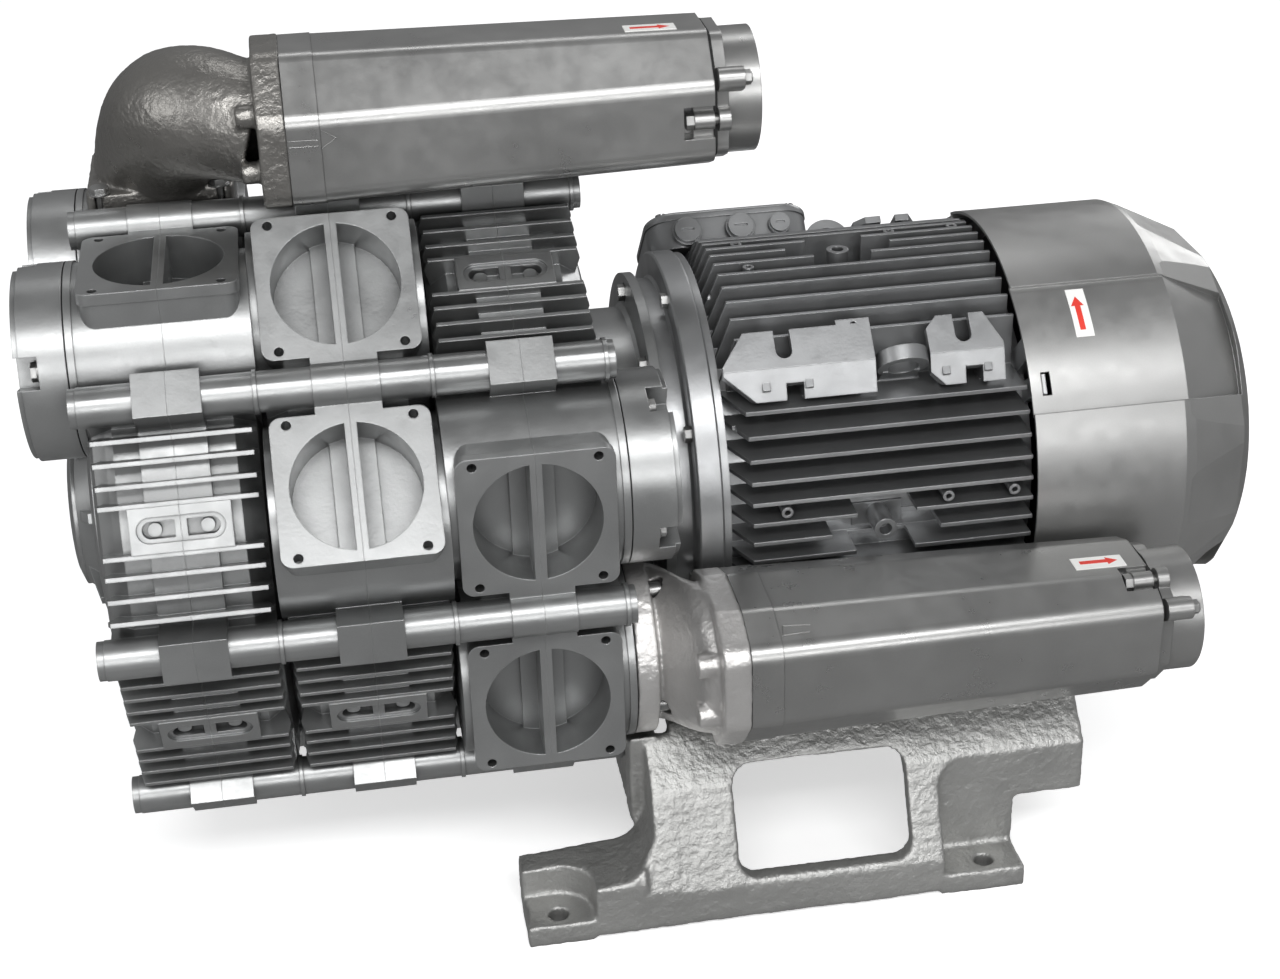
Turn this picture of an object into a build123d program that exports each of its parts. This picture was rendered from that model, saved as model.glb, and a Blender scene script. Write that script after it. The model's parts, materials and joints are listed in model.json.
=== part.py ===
from build123d import *
import os
from math import sin, cos, radians, degrees, pi, sqrt, atan2

# Three-stage side channel blower. Millimetres, +Z up, +X along the machine axis from the
# blower end to the fan end. The origin is the centre of the four foot holes on the floor.

# ---------------------------------------------------------------- driving dimensions
AXIS_H = 285.0            # machine axis above the floor
PITCH = 128.0             # axial length of one stage casing
STAGE_X = [-428.0, -300.0, -172.0]   # mid-planes of the three casings
ROD_R = 240.6             # radius of the tie rod circle
SLEEVE_R = 15.2           # cast sleeve round each tie rod
BODY_R = 217.0            # ring casing outside radius
FIN_TIP = 231.0           # fin tips, distance of the tip plane from the axis
FIN_PITCH = 16.5
FIN_T = 3.4
PORT_FACE = 242.4         # port face, distance from the axis
PORT_CT = 78.5            # port centre, sideways from the interrupter
PORT_W, PORT_L = 113.0, 117.0   # port flange, tangential and axial
PORT_BOLT_T, PORT_BOLT_A = 100.0, 92.0
PORT_RECESS_R = 48.0
PORT_RECESS_D = 40.0
AX_PORT_R = 168.0         # radius of the axial port centres
AX_BOSS_R = 72.5          # axial port boss
AX_BORE_R = 46.0
CAP_T = 37.0
SHAFT_R = 22.0
IMP_R = 196.0             # impeller radius
MOTOR_CORE_R = 140.0
MOTOR_FIN_R = 174.0
COWL_R = 180.0
SIL_W, SIL_H = 125.0, 108.0     # silencer section
SIL_LEN = 295.0
BASE_BOLT_X, BASE_BOLT_Y = 350.0, 524.0
BASE_HOLE_R = 8.0
BASE_HALF_W = 278.0

os.makedirs("parts", exist_ok=True)
NODES = {}


def put(name, shape):
    NODES[name] = shape


def solids_of(shape):
    return list(shape.solids())


def group(items):
    out = []
    for it in items:
        out += solids_of(it)
    return Compound(children=out) if len(out) > 1 else out[0]


def ax(x, ang=0.0):
    """Frame on the machine axis at x: local x points at angle `ang` (0 = front, 90 = up),
    local z points to the blower end (-X)."""
    p = Plane(origin=(x, 0, AXIS_H), x_dir=(0, -1, 0), z_dir=(-1, 0, 0))
    return p.location * Location((0, 0, 0), (0, 0, ang))


def xcyl(x0, x1, r, y=0.0, z=AXIS_H):
    """Cylinder along +X between x0 and x1."""
    return Plane(origin=(x0, y, z), x_dir=(0, 1, 0), z_dir=(1, 0, 0)).location * Cylinder(
        r, x1 - x0, align=(Align.CENTER, Align.CENTER, Align.MIN))


def xring(x0, x1, r_out, r_in, y=0.0, z=AXIS_H):
    return xcyl(x0, x1, r_out, y, z) - xcyl(x0 - 1, x1 + 1, r_in, y, z)


def xhex(x0, x1, af, y, z, rot=0.0):
    s = Plane(origin=(x0, y, z), x_dir=(0, 1, 0), z_dir=(1, 0, 0)) * RegularPolygon(
        af / 2, 6, major_radius=False, rotation=rot)
    return extrude(s, x1 - x0, dir=(1, 0, 0))


def box_at(x0, x1, y0, y1, z0, z1):
    return Pos(x0, y0, z0) * Box(x1 - x0, y1 - y0, z1 - z0, align=(Align.MIN,) * 3)


def rev_profile(pts, x, flip=1):
    """Solid of revolution about the machine axis; pts are (axial, radius), axial from x."""
    poly = Polyline([(x + flip * a, 0, AXIS_H + r) for a, r in pts], close=True)
    face = make_face(poly)
    return revolve(face, Axis((0, 0, AXIS_H), (1, 0, 0)), 360)


def polar(r, ang):
    """(y, z) of a point at radius r and angle ang (0 = front, 90 = up)."""
    return -r * cos(radians(ang)), AXIS_H + r * sin(radians(ang))


# ---------------------------------------------------------------- one ring casing
HALF = PITCH / 2


def rev_local(pts):
    """Solid of revolution about local z; pts are (radius, z)."""
    face = make_face(Polyline([(r, 0, z) for r, z in pts], close=True))
    return revolve(face, Axis.Z, 360)


def rrect(w, h, r):
    return RectangleRounded(w, h, r)


def casing_outer():
    """Whole outside of one casing, interrupter at local +y, local z along the axis."""
    body = rev_local([(36, -HALF), (188, -HALF), (203, -60), (BODY_R - 5, -50), (BODY_R, -44),
                      (BODY_R, 44), (BODY_R - 5, 50), (203, 60), (188, HALF), (36, HALF)])
    add = []
    # central band that carries the parting line
    add.append(rev_local([(190, -24.5), (225.5, -24.5), (225.5, 24.5), (190, 24.5)]))
    # tie rod sleeves with their feet and mid blocks
    for k in range(8):
        a = 45.0 * k
        top = Rot(0, 0, a)
        add.append(top * Pos(ROD_R, 0, 0) * Cylinder(SLEEVE_R, PITCH))
        add.append(top * Pos(ROD_R, 0, -HALF + 1.5) * Cylinder(SLEEVE_R + 1.3, 3))
        if k == 2:
            add.append(top * Pos(ROD_R, 0, 0) * Cylinder(SLEEVE_R + 1.2, 49))
            add.append(top * Pos(ROD_R - 22, 0, 0) * Box(36, 16, PITCH - 8))
        else:
            add.append(top * Pos(ROD_R - 7, 0, 0) * Box(45, 34, 49))
            add.append(top * Pos(ROD_R - 22, 0, 0) * Box(36, 19, PITCH - 8))
    # fins
    fin2d = make_face(Polyline([(0, -53), (30, -60), (40, -57.5), (40, 57.5), (30, 60), (0, 53)], close=True))
    for ang in (22.5, -22.5, -67.5, -112.5, -157.5, 157.5):
        for j in range(-5, 6):
            t = j * FIN_PITCH
            if abs(j) == 1 or j == 0:
                continue
            r0 = 191.0
            f = Plane(origin=(r0, t - FIN_T / 2, 0), x_dir=(1, 0, 0), z_dir=(0, 1, 0)) * fin2d
            add.append(Rot(0, 0, ang) * extrude(f, FIN_T, dir=(0, 1, 0)))
        for j in (-1, 1):
            t = j * FIN_PITCH * 1.12
            f = Plane(origin=(FIN_TIP - 40, t - FIN_T / 2, 0), x_dir=(1, 0, 0), z_dir=(0, 1, 0)) * fin2d
            add.append(Rot(0, 0, ang) * extrude(f, FIN_T, dir=(0, 1, 0)))
        # flat boss with the long slot
        add.append(Rot(0, 0, ang) * Pos(FIN_TIP - 14, 0, 0) * Box(29, 34, 74))
    # two port boxes beside the interrupter
    for s in (-1, 1):
        pf = Plane(origin=(s * PORT_CT, PORT_FACE, 0), x_dir=(1, 0, 0), z_dir=(0, 1, 0))
        add.append(extrude(pf * rrect(PORT_W, PORT_L, 9), 9, dir=(0, -1, 0)))
        add.append(extrude(pf * rrect(PORT_W - 2, PORT_L - 2, 11), 84, dir=(0, -1, 0)))
        add.append(Pos(s * PORT_CT, AX_PORT_R, 0) * Cylinder(AX_BOSS_R, PITCH))
        add.append(Pos(s * PORT_CT, AX_PORT_R, 0) * Cylinder(AX_BOSS_R - 3, PITCH))
        # tab from the flange to the interrupter sleeve
        add.append(Pos(s * 16, PORT_FACE - 6, 0) * Box(24, 12, 49))
    whole = body + add
    # port recess with the web in the parting plane
    cuts = []
    for s in (-1, 1):
        rec = Pos(s * PORT_CT, PORT_FACE - PORT_RECESS_D / 2, 0) * Rot(90, 0, 0) * Cylinder(PORT_RECESS_R, PORT_RECESS_D)
        rec -= Pos(s * PORT_CT, PORT_FACE - PORT_RECESS_D / 2, 0) * Box(120, PORT_RECESS_D + 2, 9)
        rec -= Pos(s * PORT_CT, PORT_FACE - PORT_RECESS_D + 2, 0) * Box(120, 5, 34)
        cuts.append(rec)
        for st in (-1, 1):
            for sa in (-1, 1):
                cuts.append(Pos(s * PORT_CT + st * PORT_BOLT_T / 2, PORT_FACE - 9, sa * PORT_BOLT_A / 2)
                            * Rot(90, 0, 0) * Cylinder(3.6, 18))
    for ang in (22.5, -22.5, -67.5, -112.5, -157.5, 157.5):
        pl = Plane(origin=(FIN_TIP + 0.5, 0, 0), x_dir=(0, 0, 1), z_dir=(1, 0, 0))
        sl = extrude(pl * SlotOverall(64, 19), 2.2, dir=(-1, 0, 0))
        pk = extrude(pl * SlotOverall(56, 12.5), 11, dir=(-1, 0, 0)) - Pos(FIN_TIP - 5, 0, 0) * Box(20, 20, 9)
        pk -= [Pos(FIN_TIP - 9, 0, q) * Rot(0, 90, 0) * Cylinder(5.2, 8) for q in (-19, 19)]
        cuts += [Rot(0, 0, ang) * sl] + [Rot(0, 0, ang) * q for q in pk.solids()]
    # rod bores
    for k in range(8):
        cuts.append(Rot(0, 0, 45 * k) * Pos(ROD_R, 0, 0) * Cylinder(6.6, PITCH + 2))
    return whole - cuts


def casing_inner():
    """Everything that is hollow inside one casing."""
    # impeller chamber and the two side channels, open over the ring
    chamber = rev_local([(30, -11), (150, -11), (150, -19.2), (IMP_R + 1.2, -19.2), (IMP_R + 1.2, 19.2),
                         (150, 19.2), (150, 11), (30, 11)])
    chan = rev_local([(152, -18), (154, -34), (163, -43), (184, -43), (192, -34), (194, -18),
                      (194, 18), (192, 34), (184, 43), (163, 43), (154, 34), (152, 18)])
    strip = Pos(0, 175, 0) * Box(44, 60, 100)
    chan = chan - strip
    bore = Cylinder(SHAFT_R + 14, PITCH + 2)
    cut = chamber + [chan, bore]
    for s in (-1, 1):
        cut += Pos(s * PORT_CT, AX_PORT_R, 0) * Cylinder(AX_BORE_R, PITCH + 2) - Pos(s * PORT_CT, PORT_FACE - PORT_RECESS_D + 26, 0) * Box(130, 60, PITCH + 4)
    return cut


outer = casing_outer()
inner = casing_inner()
shell = outer - inner
big = 700
left_half = shell & (Pos(0, 0, big / 2) * Box(big, big, big))
right_half = shell & (Pos(0, 0, -big / 2) * Box(big, big, big))
print("casing halves", len(left_half.solids()), len(right_half.solids()), round(left_half.volume))


def main_solid(s):
    ss = sorted(s.solids(), key=lambda q: q.volume)
    return ss[-1]


left_half = main_solid(left_half)
right_half = main_solid(right_half)

# The axial ports of each half: +1 / -1 names the port. "open" ones are full bores for a cap or
# pipe, "pass" ones are the narrower transfer bores that meet the neighbouring stage, the others
# are blind.
PASS_R = 42.0
PASS_C = 182.0
px_, py_ = PASS_C * sin(radians(22.5)), PASS_C * cos(radians(22.5))


def half_variant(half, sign, open_ports, pass_ports, radial_open):
    z = sign * (HALF - 4)
    add, cut = [], []
    for s in (-1, 1):
        if s in open_ports:
            continue
        add.append(Pos(s * PORT_CT, AX_PORT_R, z) * Cylinder(AX_BORE_R + 1, 8))
        if s in pass_ports:
            cut.append(Pos(s * px_, py_, z) * Cylinder(PASS_R, 10))
            cut.append(Pos(s * px_, py_, sign * HALF) * (Cylinder(PASS_R + 7, 5) - Cylinder(PASS_R + 2.5, 6)))
    if radial_open:
        cut.append(Pos(radial_open * PORT_CT, 196, 0) * Rot(90, 0, 0) * Cylinder(38, 30))
    h = half + add if add else half
    if cut:
        h = h - cut
    return main_solid(h)


variants = [
    (left_half, 1, (-1, 1), (), -1), (right_half, -1, (), (1,), -1),
    (left_half, 1, (), (-1,), 0), (right_half, -1, (), (1,), 0),
    (left_half, 1, (), (-1,), 0), (right_half, -1, (-1, 1), (), 0),
]
for n, (h, sg, op, ps, ro) in enumerate(variants):
    i = n // 2
    put("stage_%d_%s_shell" % (i + 1, "left" if n % 2 == 0 else "right"),
        main_solid(ax(STAGE_X[i], -45.0 * i) * half_variant(h, sg, op, ps, ro)))

SEAL_R = 36.0
ENDS = {"left": STAGE_X[0] - HALF, "right": STAGE_X[2] + HALF}     # -492 and -108
BOSS_T = 5.0


def port_yz(stage, which):
    """Axial port centre (y, z) of a stage; which is -1 for its first port, +1 for the second."""
    a = radians(90 - 45.0 * stage)
    # local x (which * PORT_CT) points along angle a - 90, local y along a
    dy, dz = -cos(a) * AX_PORT_R, sin(a) * AX_PORT_R
    ex, ez = -cos(a - pi / 2), sin(a - pi / 2)
    return dy + which * PORT_CT * ex, AXIS_H + dz + which * PORT_CT * ez


P1 = port_yz(0, -1)     # stage 1, first port (rear top)
P2 = port_yz(0, 1)      # stage 1, second port (front top)
P3 = port_yz(2, -1)     # stage 3, first port (upper front)
P4 = port_yz(2, 1)      # stage 3, second port (lower front), the outlet

# sleeves and port bosses that stand out of the two outer faces
end_extra_l, end_extra_r = [], []
for k in range(8):
    y, z = polar(ROD_R, 45 * k)
    end_extra_l.append(xring(ENDS["left"] - 5.5, ENDS["left"] + 6, SLEEVE_R - 0.6, 10.6, y, z))
    end_extra_r.append(xring(ENDS["right"] - 6, ENDS["right"] + 5.5, SLEEVE_R - 0.6, 10.6, y, z))
for y, z in (P1, P2):
    end_extra_l.append(xring(ENDS["left"] - BOSS_T, ENDS["left"] + 0.5, AX_BOSS_R + 1.5, AX_BORE_R, y, z))
for y, z in (P3, P4):
    end_extra_r.append(xring(ENDS["right"] - 0.5, ENDS["right"] + BOSS_T, AX_BOSS_R + 1.5, AX_BORE_R, y, z))
s1l = NODES["stage_1_left_shell"] + end_extra_l
s3r = NODES["stage_3_right_shell"] + end_extra_r
cb_l, cb_r = [], []
for k in range(8):
    y, z = polar(ROD_R, 45 * k)
    cb_l.append(xcyl(ENDS["left"] - 6, ENDS["left"] + 6, 10.6, y, z))
    cb_r.append(xcyl(ENDS["right"] - 6, ENDS["right"] + 6, 10.6, y, z))
put("stage_1_left_shell", main_solid(s1l - cb_l))
put("stage_3_right_shell", main_solid(s3r - cb_r))

# ---------------------------------------------------------------- tie rods
rods, nuts = [], []
for k in range(8):
    y, z = polar(ROD_R, 45 * k)
    rods.append(xcyl(ENDS["left"] - 2, ENDS["right"] + 2, 6.0, y, z))
    for x0, x1 in ((ENDS["left"] - 4.5, ENDS["left"] + 6), (ENDS["right"] - 6, ENDS["right"] + 4.5)):
        nut = xcyl(x0, x1, 10.2, y, z) - xcyl(x0 - 1, x1 + 1, 6.0, y, z)
        nuts.append(nut)
put("tie_rods", group(rods))
put("tie_rod_nuts", group(nuts))

# ---------------------------------------------------------------- round caps on unused axial ports


def port_cap(x_face, direction, y, z, notch_ang, bolts, gaskets):
    """Round cap with four bolt pockets; direction -1 = standing out to -X."""
    g0, g1 = sorted((x_face, x_face + direction * 1.0))
    gaskets.append(xring(g0, g1, AX_BOSS_R - 1.0, AX_BORE_R + 1, y, z))
    f0 = x_face + direction * 1.0
    c0, c1 = sorted((f0, f0 + direction * CAP_T))
    cap = xcyl(c0, c1, AX_BOSS_R + 1.5, y, z)
    # thinner rim step, hollow inside
    s0, s1 = sorted((f0 + direction * (CAP_T - 4), f0 + direction * (CAP_T + 1)))
    cap -= xring(s0, s1, AX_BOSS_R + 5, AX_BOSS_R - 1.0, y, z)
    h0, h1 = sorted((f0 - direction * 1, f0 + direction * (CAP_T - 7)))
    cap -= xcyl(h0, h1, AX_BORE_R, y, z)
    for q in range(4):
        a = radians(notch_ang + 90 * q)
        ny, nz = y - (AX_BOSS_R - 4) * cos(a), z + (AX_BOSS_R - 4) * sin(a)
        p0, p1 = sorted((f0 + direction * 20, f0 + direction * (CAP_T + 1)))
        pk = Box(p1 - p0, 31, 24)
        pk = Pos((p0 + p1) / 2, ny, nz) * Rot(-degrees(a), 0, 0) * pk
        cap -= pk
        by, bz = y - (AX_BOSS_R - 10) * cos(a), z + (AX_BOSS_R - 10) * sin(a)
        b0, b1 = sorted((f0 - direction * 9, f0 + direction * 20))
        cap -= xcyl(b0, b1, 4.4, by, bz)
        h0, h1 = sorted((f0 + direction * 20, f0 + direction * 26))
        w0, w1 = sorted((f0 + direction * 20, f0 + direction * 21.5))
        sh0, sh1 = sorted((f0 - direction * 8, f0 + direction * 20.5))
        bolts.append(xhex(h0, h1, 13, by, bz, 12) + xcyl(w0, w1, 8.2, by, bz) + xcyl(sh0, sh1, 4.0, by, bz))
    return main_solid(cap)


cap_bolts, gaskets = [], []
xl, xr = ENDS["left"] - BOSS_T, ENDS["right"] + BOSS_T
put("port_cap_stage_1_rear", port_cap(xl, -1, *P1, 18, cap_bolts, gaskets))
put("port_cap_stage_1_front", port_cap(xl, -1, *P2, 18, cap_bolts, gaskets))
put("port_cap_stage_3", port_cap(xr, 1, *P3, 68, cap_bolts, gaskets))
cut_l = [xcyl(xl - 9, xl + 12, 4.0, y - (AX_BOSS_R - 10) * cos(radians(18 + 90 * q)), z + (AX_BOSS_R - 10) * sin(radians(18 + 90 * q)))
         for (y, z) in (P1, P2) for q in range(4)]
cut_r = [xcyl(xr - 12, xr + 9, 4.0, y - (AX_BOSS_R - 10) * cos(radians(68 + 90 * q)), z + (AX_BOSS_R - 10) * sin(radians(68 + 90 * q)))
         for (y, z) in (P3, P4) for q in range(4)]
put("stage_1_left_shell", main_solid(NODES["stage_1_left_shell"] - cut_l))
put("stage_3_right_shell", main_solid(NODES["stage_3_right_shell"] - cut_r))

# ---------------------------------------------------------------- silencers
IN_Y, IN_Z = -17.5, AXIS_H + 319.3
OUT_Y, OUT_Z = -246.0, AXIS_H - 53.0
IN_X = (-346.0, -325.0, -300.5, -300.5 + SIL_LEN)
OUT_X = (-49.0, -28.0, -4.0, -4.0 + SIL_LEN)
# section at the pipe end, and the smaller one at the far end: the cast shell has a strong draft
OCT_OUT = [(-27, 55.6), (-65.5, 41), (-65.5, -21.5), (-28, -60.6), (28, -60.6), (65.5, -21.5), (65.5, 41), (27, 55.6)]
OCT_OUT_END = [(-25, 50), (-57, 36.5), (-57, -21.5), (-26, -55.6), (26, -55.6), (57, -21.5), (57, 36.5), (25, 50)]
OCT_IN = [(y, -z) for y, z in reversed(OCT_OUT)]
OCT_IN_END = [(y, -z) for y, z in reversed(OCT_OUT_END)]


def oct_face(pts, x, yc, zc, grow=0.0, rad=15.0):
    """Rounded octagonal section in the plane x; grow > 0 offsets it outwards."""
    pl = Plane(origin=(x, yc, zc), x_dir=(0, 1, 0), z_dir=(1, 0, 0))
    sk = make_face(Polyline(pts, close=True))
    sk = fillet(sk.vertices(), rad)
    if grow:
        sk = offset(sk, grow)
    return pl * sk


def oct_prism(pts, x0, x1, yc, zc, grow=0.0, rad=15.0):
    return extrude(oct_face(pts, x0, yc, zc, grow, rad), x1 - x0, dir=(1, 0, 0))


def oct_taper(pa, pb, x0, x1, xs, xe, yc, zc, grow=0.0, rad=15.0):
    """Drafted octagonal body; pa and pb are its sections at xs and xe."""
    secs = []
    for x in (x0, x1):
        t = (x - xs) / (xe - xs)
        pts = [(a[0] + (b[0] - a[0]) * t, a[1] + (b[1] - a[1]) * t) for a, b in zip(pa, pb)]
        secs.append(oct_face(pts, x, yc, zc, grow, rad))
    return loft(secs, ruled=True)


sil_gaskets, sil_bolts = [], []


def silencer(tag, pts, pe, X, yc, zc, notches, lugs):
    """Silencer along +X. Each notch is (centre y, centre z, outward y, outward z) on the skin; lugs are
    (y, z) of the stud bosses on the end cap."""
    xp, xm, xs, xe = X
    mid = oct_prism(pts, xm, xs, yc, zc, 0.8) - xcyl(xm - 1, xs + 1, 41, yc, zc)
    skin = oct_taper(pts, pe, xs, xe, xs, xe, yc, zc)
    hollow = oct_taper(pts, pe, xs - 1, xe - 6, xs, xe, yc, zc, -4.0)
    c0 = xe + 3
    cap = oct_prism([(p[0] * 0.86, p[1] * 0.94) for p in pe], c0, c0 + 9, yc, zc, 0, 14)
    cap += xcyl(c0, c0 + 35, 48.5, yc, zc)
    pockets, cuts, holes, bosses_ = [], [], [], []
    for ny, nz, uy, uz in notches:
        ang = degrees(atan2(uz, uy))
        place = Pos(0, yc + ny, zc + nz) * Rot(ang, 0, 0)
        pockets.append(place * Pos(xe - 17, 0, 0) * Box(40, 40, 36))
        cuts.append(place * Pos(xe - 11, 0, 0) * Box(26, 31, 25))
        by, bz = yc + ny - 6 * uy, zc + nz - 6 * uz
        holes.append(xcyl(xe - 17, c0 + 8, 4.2, by, bz))
        bosses_.append((place * Pos(xe - 8, -13, 0) * Box(15.4, 12, 25)) + xcyl(xe - 15.7, xe - 0.3, 7.2, by, bz))
        cap += xcyl(c0, c0 + 9, 9.0, by, bz)
        sil_bolts.append(xhex(xe - 22, xe - 15.7, 11.6, by, bz, 8) + xcyl(xe - 16, c0 + 7.5, 4.0, by, bz))
    for ly, lz in lugs:
        uy, uz = ly / sqrt(ly * ly + lz * lz), lz / sqrt(ly * ly + lz * lz)
        lug = xcyl(c0, c0 + 20, 8.6, yc + ly, zc + lz)
        lug += Pos(0, yc + ly - 8 * uy, zc + lz - 8 * uz) * Rot(degrees(atan2(uz, uy)), 0, 0) * Pos(c0 + 10, 0, 0) * Box(20, 18, 17.2)
        cap += lug
        cap -= xcyl(c0 + 8, c0 + 22, 4.2, yc + ly, zc + lz)
        sil_bolts.append(xcyl(c0 + 9, c0 + 26.5, 4.0, yc + ly, zc + lz) + xhex(c0 + 20, c0 + 25.5, 10, yc + ly, zc + lz, 14))
    shell_ = skin - (hollow - pockets) - cuts + bosses_ - holes - xcyl(xe - 8, xe + 1, 41.2, yc, zc)
    liner = oct_taper(pts, pe, xs, xe - 40, xs, xe, yc, zc, -4.2) - xcyl(xs - 1, xe, 43.2, yc, zc)
    tube = xring(xs, xe - 0.5, 43.2, 41.2, yc, zc)
    shell_ -= xcyl(xe - 40, xe - 0.5, 43.2, yc, zc)
    ring = oct_prism([(p[0] * 0.88, p[1] * 0.94) for p in pe], xe, c0, yc, zc, 0, 13) + xcyl(xe, c0, 47, yc, zc)
    sil_gaskets.append(ring - xcyl(xe - 1, xe + 4, 41, yc, zc) - holes)
    cap = cap - holes - xcyl(c0 - 1, c0 + 40, 40.0, yc, zc)
    # rows of holes round the tube
    th = []
    for i in range(11):
        for q in range(3):
            th.append(Pos(xs + 22 + 21 * i, yc, zc) * Rot(60 * q + 30 * (i % 2), 0, 0) * Cylinder(3.2, 100))
    tube = tube - th
    put(tag + "_silencer_mid_plate", main_solid(mid))
    put(tag + "_silencer_shell", main_solid(shell_))
    put(tag + "_silencer_lining", main_solid(liner))
    put(tag + "_silencer_tube", main_solid(tube))
    put(tag + "_silencer_end_cap", main_solid(cap))


silencer("inlet", OCT_IN, OCT_IN_END, IN_X, IN_Y, IN_Z, [(-57.5, -6, -1, 0), (57.5, -6, 1, 0)], [(-51, 25), (51, 25)])
silencer("outlet", OCT_OUT, OCT_OUT_END, OUT_X, OUT_Y, OUT_Z, [(-28.5, 49, -0.376, 0.927), (57.5, 8, 1, 0)], [(-51, 31), (54.5, -7)])
put("silencer_end_gaskets", group(sil_gaskets))
put("silencer_bolts", group(sil_bolts))


def tube_loft(stations, ruled=False):
    """Loft through circles given as (centre, direction, radius)."""
    faces = []
    side = Vector(-1, 1, -0.2)
    for c, d, r in stations:
        d = Vector(d)
        side = (side - d * side.dot(d)).normalized()
        faces.append(Plane(origin=c, z_dir=d, x_dir=side) * Circle(r))
    return loft(faces, ruled=ruled)


# ---------------------------------------------------------------- inlet elbow
EL_T = 15.0
ez0 = AXIS_H + PORT_FACE + 1.0
ex, ey = STAGE_X[0], PORT_CT
flange = Pos(ex, ey, ez0) * extrude(rrect(PORT_L - 4, PORT_W - 4, 9), EL_T)
gaskets.append(Pos(ex, ey, ez0 - 1) * (extrude(rrect(PORT_L - 6, PORT_W - 6, 8), 1) - Pos(0, 0, -1) * Cylinder(PORT_RECESS_R + 1, 6)))


def bez(P, t):
    a = (1 - t)
    return [a ** 3 * P[0][i] + 3 * a * a * t * P[1][i] + 3 * a * t * t * P[2][i] + t ** 3 * P[3][i] for i in range(3)]


def dbez(P, t):
    a = (1 - t)
    v = [3 * a * a * (P[1][i] - P[0][i]) + 6 * a * t * (P[2][i] - P[1][i]) + 3 * t * t * (P[3][i] - P[2][i]) for i in range(3)]
    n = sqrt(sum(q * q for q in v))
    return [q / n for q in v]


ELBOW_P = [(ex, ey, ez0 + EL_T - 4), (ex + 12, ey - 9, 592), (ex + 17, 0.7, 623), (IN_X[0] + 3, IN_Y, IN_Z - 1)]
el_out, el_in = [], []
for i, t in enumerate([0, 0.2, 0.4, 0.6, 0.8, 1.0]):
    c, d = bez(ELBOW_P, t), dbez(ELBOW_P, t)
    r = [53.5, 53.5, 53.5, 52, 48.5, 45][i]
    el_out.append((c, d, r))
    el_in.append((c, d, r - 7))
el_body = tube_loft(el_out)
el_bore = tube_loft(el_in)
el_plate = oct_prism(OCT_IN, IN_X[0], IN_X[1], IN_Y, IN_Z, 1.6)
lugs_in = [xcyl(IN_X[0] - 14, IN_X[0] + 2, 8.5, IN_Y - 50 * cos(radians(a)), IN_Z + 46 * sin(radians(a))) for a in (-28, 28, 152, 208)]
elbow = el_body + [flange, el_plate] + lugs_in
elbow -= [el_bore, box_at(ex - 90, ex + 90, ey - 90, ey + 90, ez0 - 40, ez0)]
elbow -= [xcyl(IN_X[0] - 7, IN_X[1] + 2, 36.5, IN_Y, IN_Z), Pos(ex, ey, ez0 + 5) * Cylinder(42, 26)]
elbolts = []
for sx in (-1, 1):
    for sy in (-1, 1):
        bx, by = ex + sx * PORT_BOLT_A / 2, ey + sy * PORT_BOLT_T / 2
        elbow -= Pos(bx, by, ez0 + 7) * Cylinder(4.6, 40)
        elbow -= Pos(bx, by, ez0 + EL_T + 8) * Cylinder(8.5, 16)
        elbolts.append(Pos(bx, by, ez0 + EL_T) * (extrude(RegularPolygon(6.5, 6, major_radius=False, rotation=10), 6.0)
                       + Cylinder(8.2, 1.5, align=(Align.CENTER, Align.CENTER, Align.MIN))
                       + Pos(0, 0, -23) * Cylinder(3.6, 24, align=(Align.CENTER, Align.CENTER, Align.MIN))))
put("inlet_elbow", main_solid(elbow))
put("inlet_elbow_bolts", group(elbolts))

# ---------------------------------------------------------------- outlet neck
oy, oz = P4
gaskets.append(xring(xr, xr + 1, AX_BOSS_R - 1, AX_BORE_R + 1, oy, oz))
n0 = xr + 1
neck_fl = xcyl(n0, n0 + 17, AX_BOSS_R + 1.0, oy, oz)
nst = []
for i, t in enumerate([0, 0.25, 0.5, 0.75, 1.0]):
    s = t * t * (3 - 2 * t)
    c = (n0 + 14 + (OUT_X[0] + 3 - n0 - 14) * t, oy + (OUT_Y - oy) * s, oz + (OUT_Z - oz) * s)
    nst.append((c, (1, 0, 0), [62, 62, 61, 59, 57][i]))
neck_out = tube_loft(nst)
neck_in = tube_loft([(c, d, 44.5) for c, d, r in nst])
o_plate = oct_prism(OCT_OUT, OUT_X[0], OUT_X[1], OUT_Y, OUT_Z, 1.6)
lugs_o = [xcyl(OUT_X[0] - 16, OUT_X[0] + 2, 9.5, OUT_Y - 49 * cos(radians(a)), OUT_Z + 44 * sin(radians(a))) for a in (30, -30, 152, 208)]
neck = neck_out + [neck_fl, o_plate] + lugs_o
neck -= [neck_in, xcyl(n0 - 1, n0 + 15, 44, oy, oz), xcyl(OUT_X[0] + 1, OUT_X[1] + 1, 39, OUT_Y, OUT_Z)]
nbolts = []
for q in range(4):
    a = radians(68 + 90 * q)
    by, bz = oy - (AX_BOSS_R - 10) * cos(a), oz + (AX_BOSS_R - 10) * sin(a)
    neck -= xcyl(n0 - 1, n0 + 40, 4.4, by, bz)
    neck -= xcyl(n0 + 17, n0 + 34, 9.0, by, bz)
    nbolts.append(xcyl(n0 - 9, n0 + 17.5, 4.0, by, bz) + xcyl(n0 + 17, n0 + 27, 6.5, by, bz))
put("outlet_neck", main_solid(neck))
put("axial_port_bolts", group(cap_bolts + nbolts))
gas_cut = [Pos(ex + sx * PORT_BOLT_A / 2, ey + sy * PORT_BOLT_T / 2, ez0) * Cylinder(4.6, 8) for sx in (-1, 1) for sy in (-1, 1)]
gas_cut += [xcyl(xl - 9, xl + 9, 4.6, y - (AX_BOSS_R - 10) * cos(radians(18 + 90 * q)), z + (AX_BOSS_R - 10) * sin(radians(18 + 90 * q)))
            for (y, z) in (P1, P2) for q in range(4)]
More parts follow.
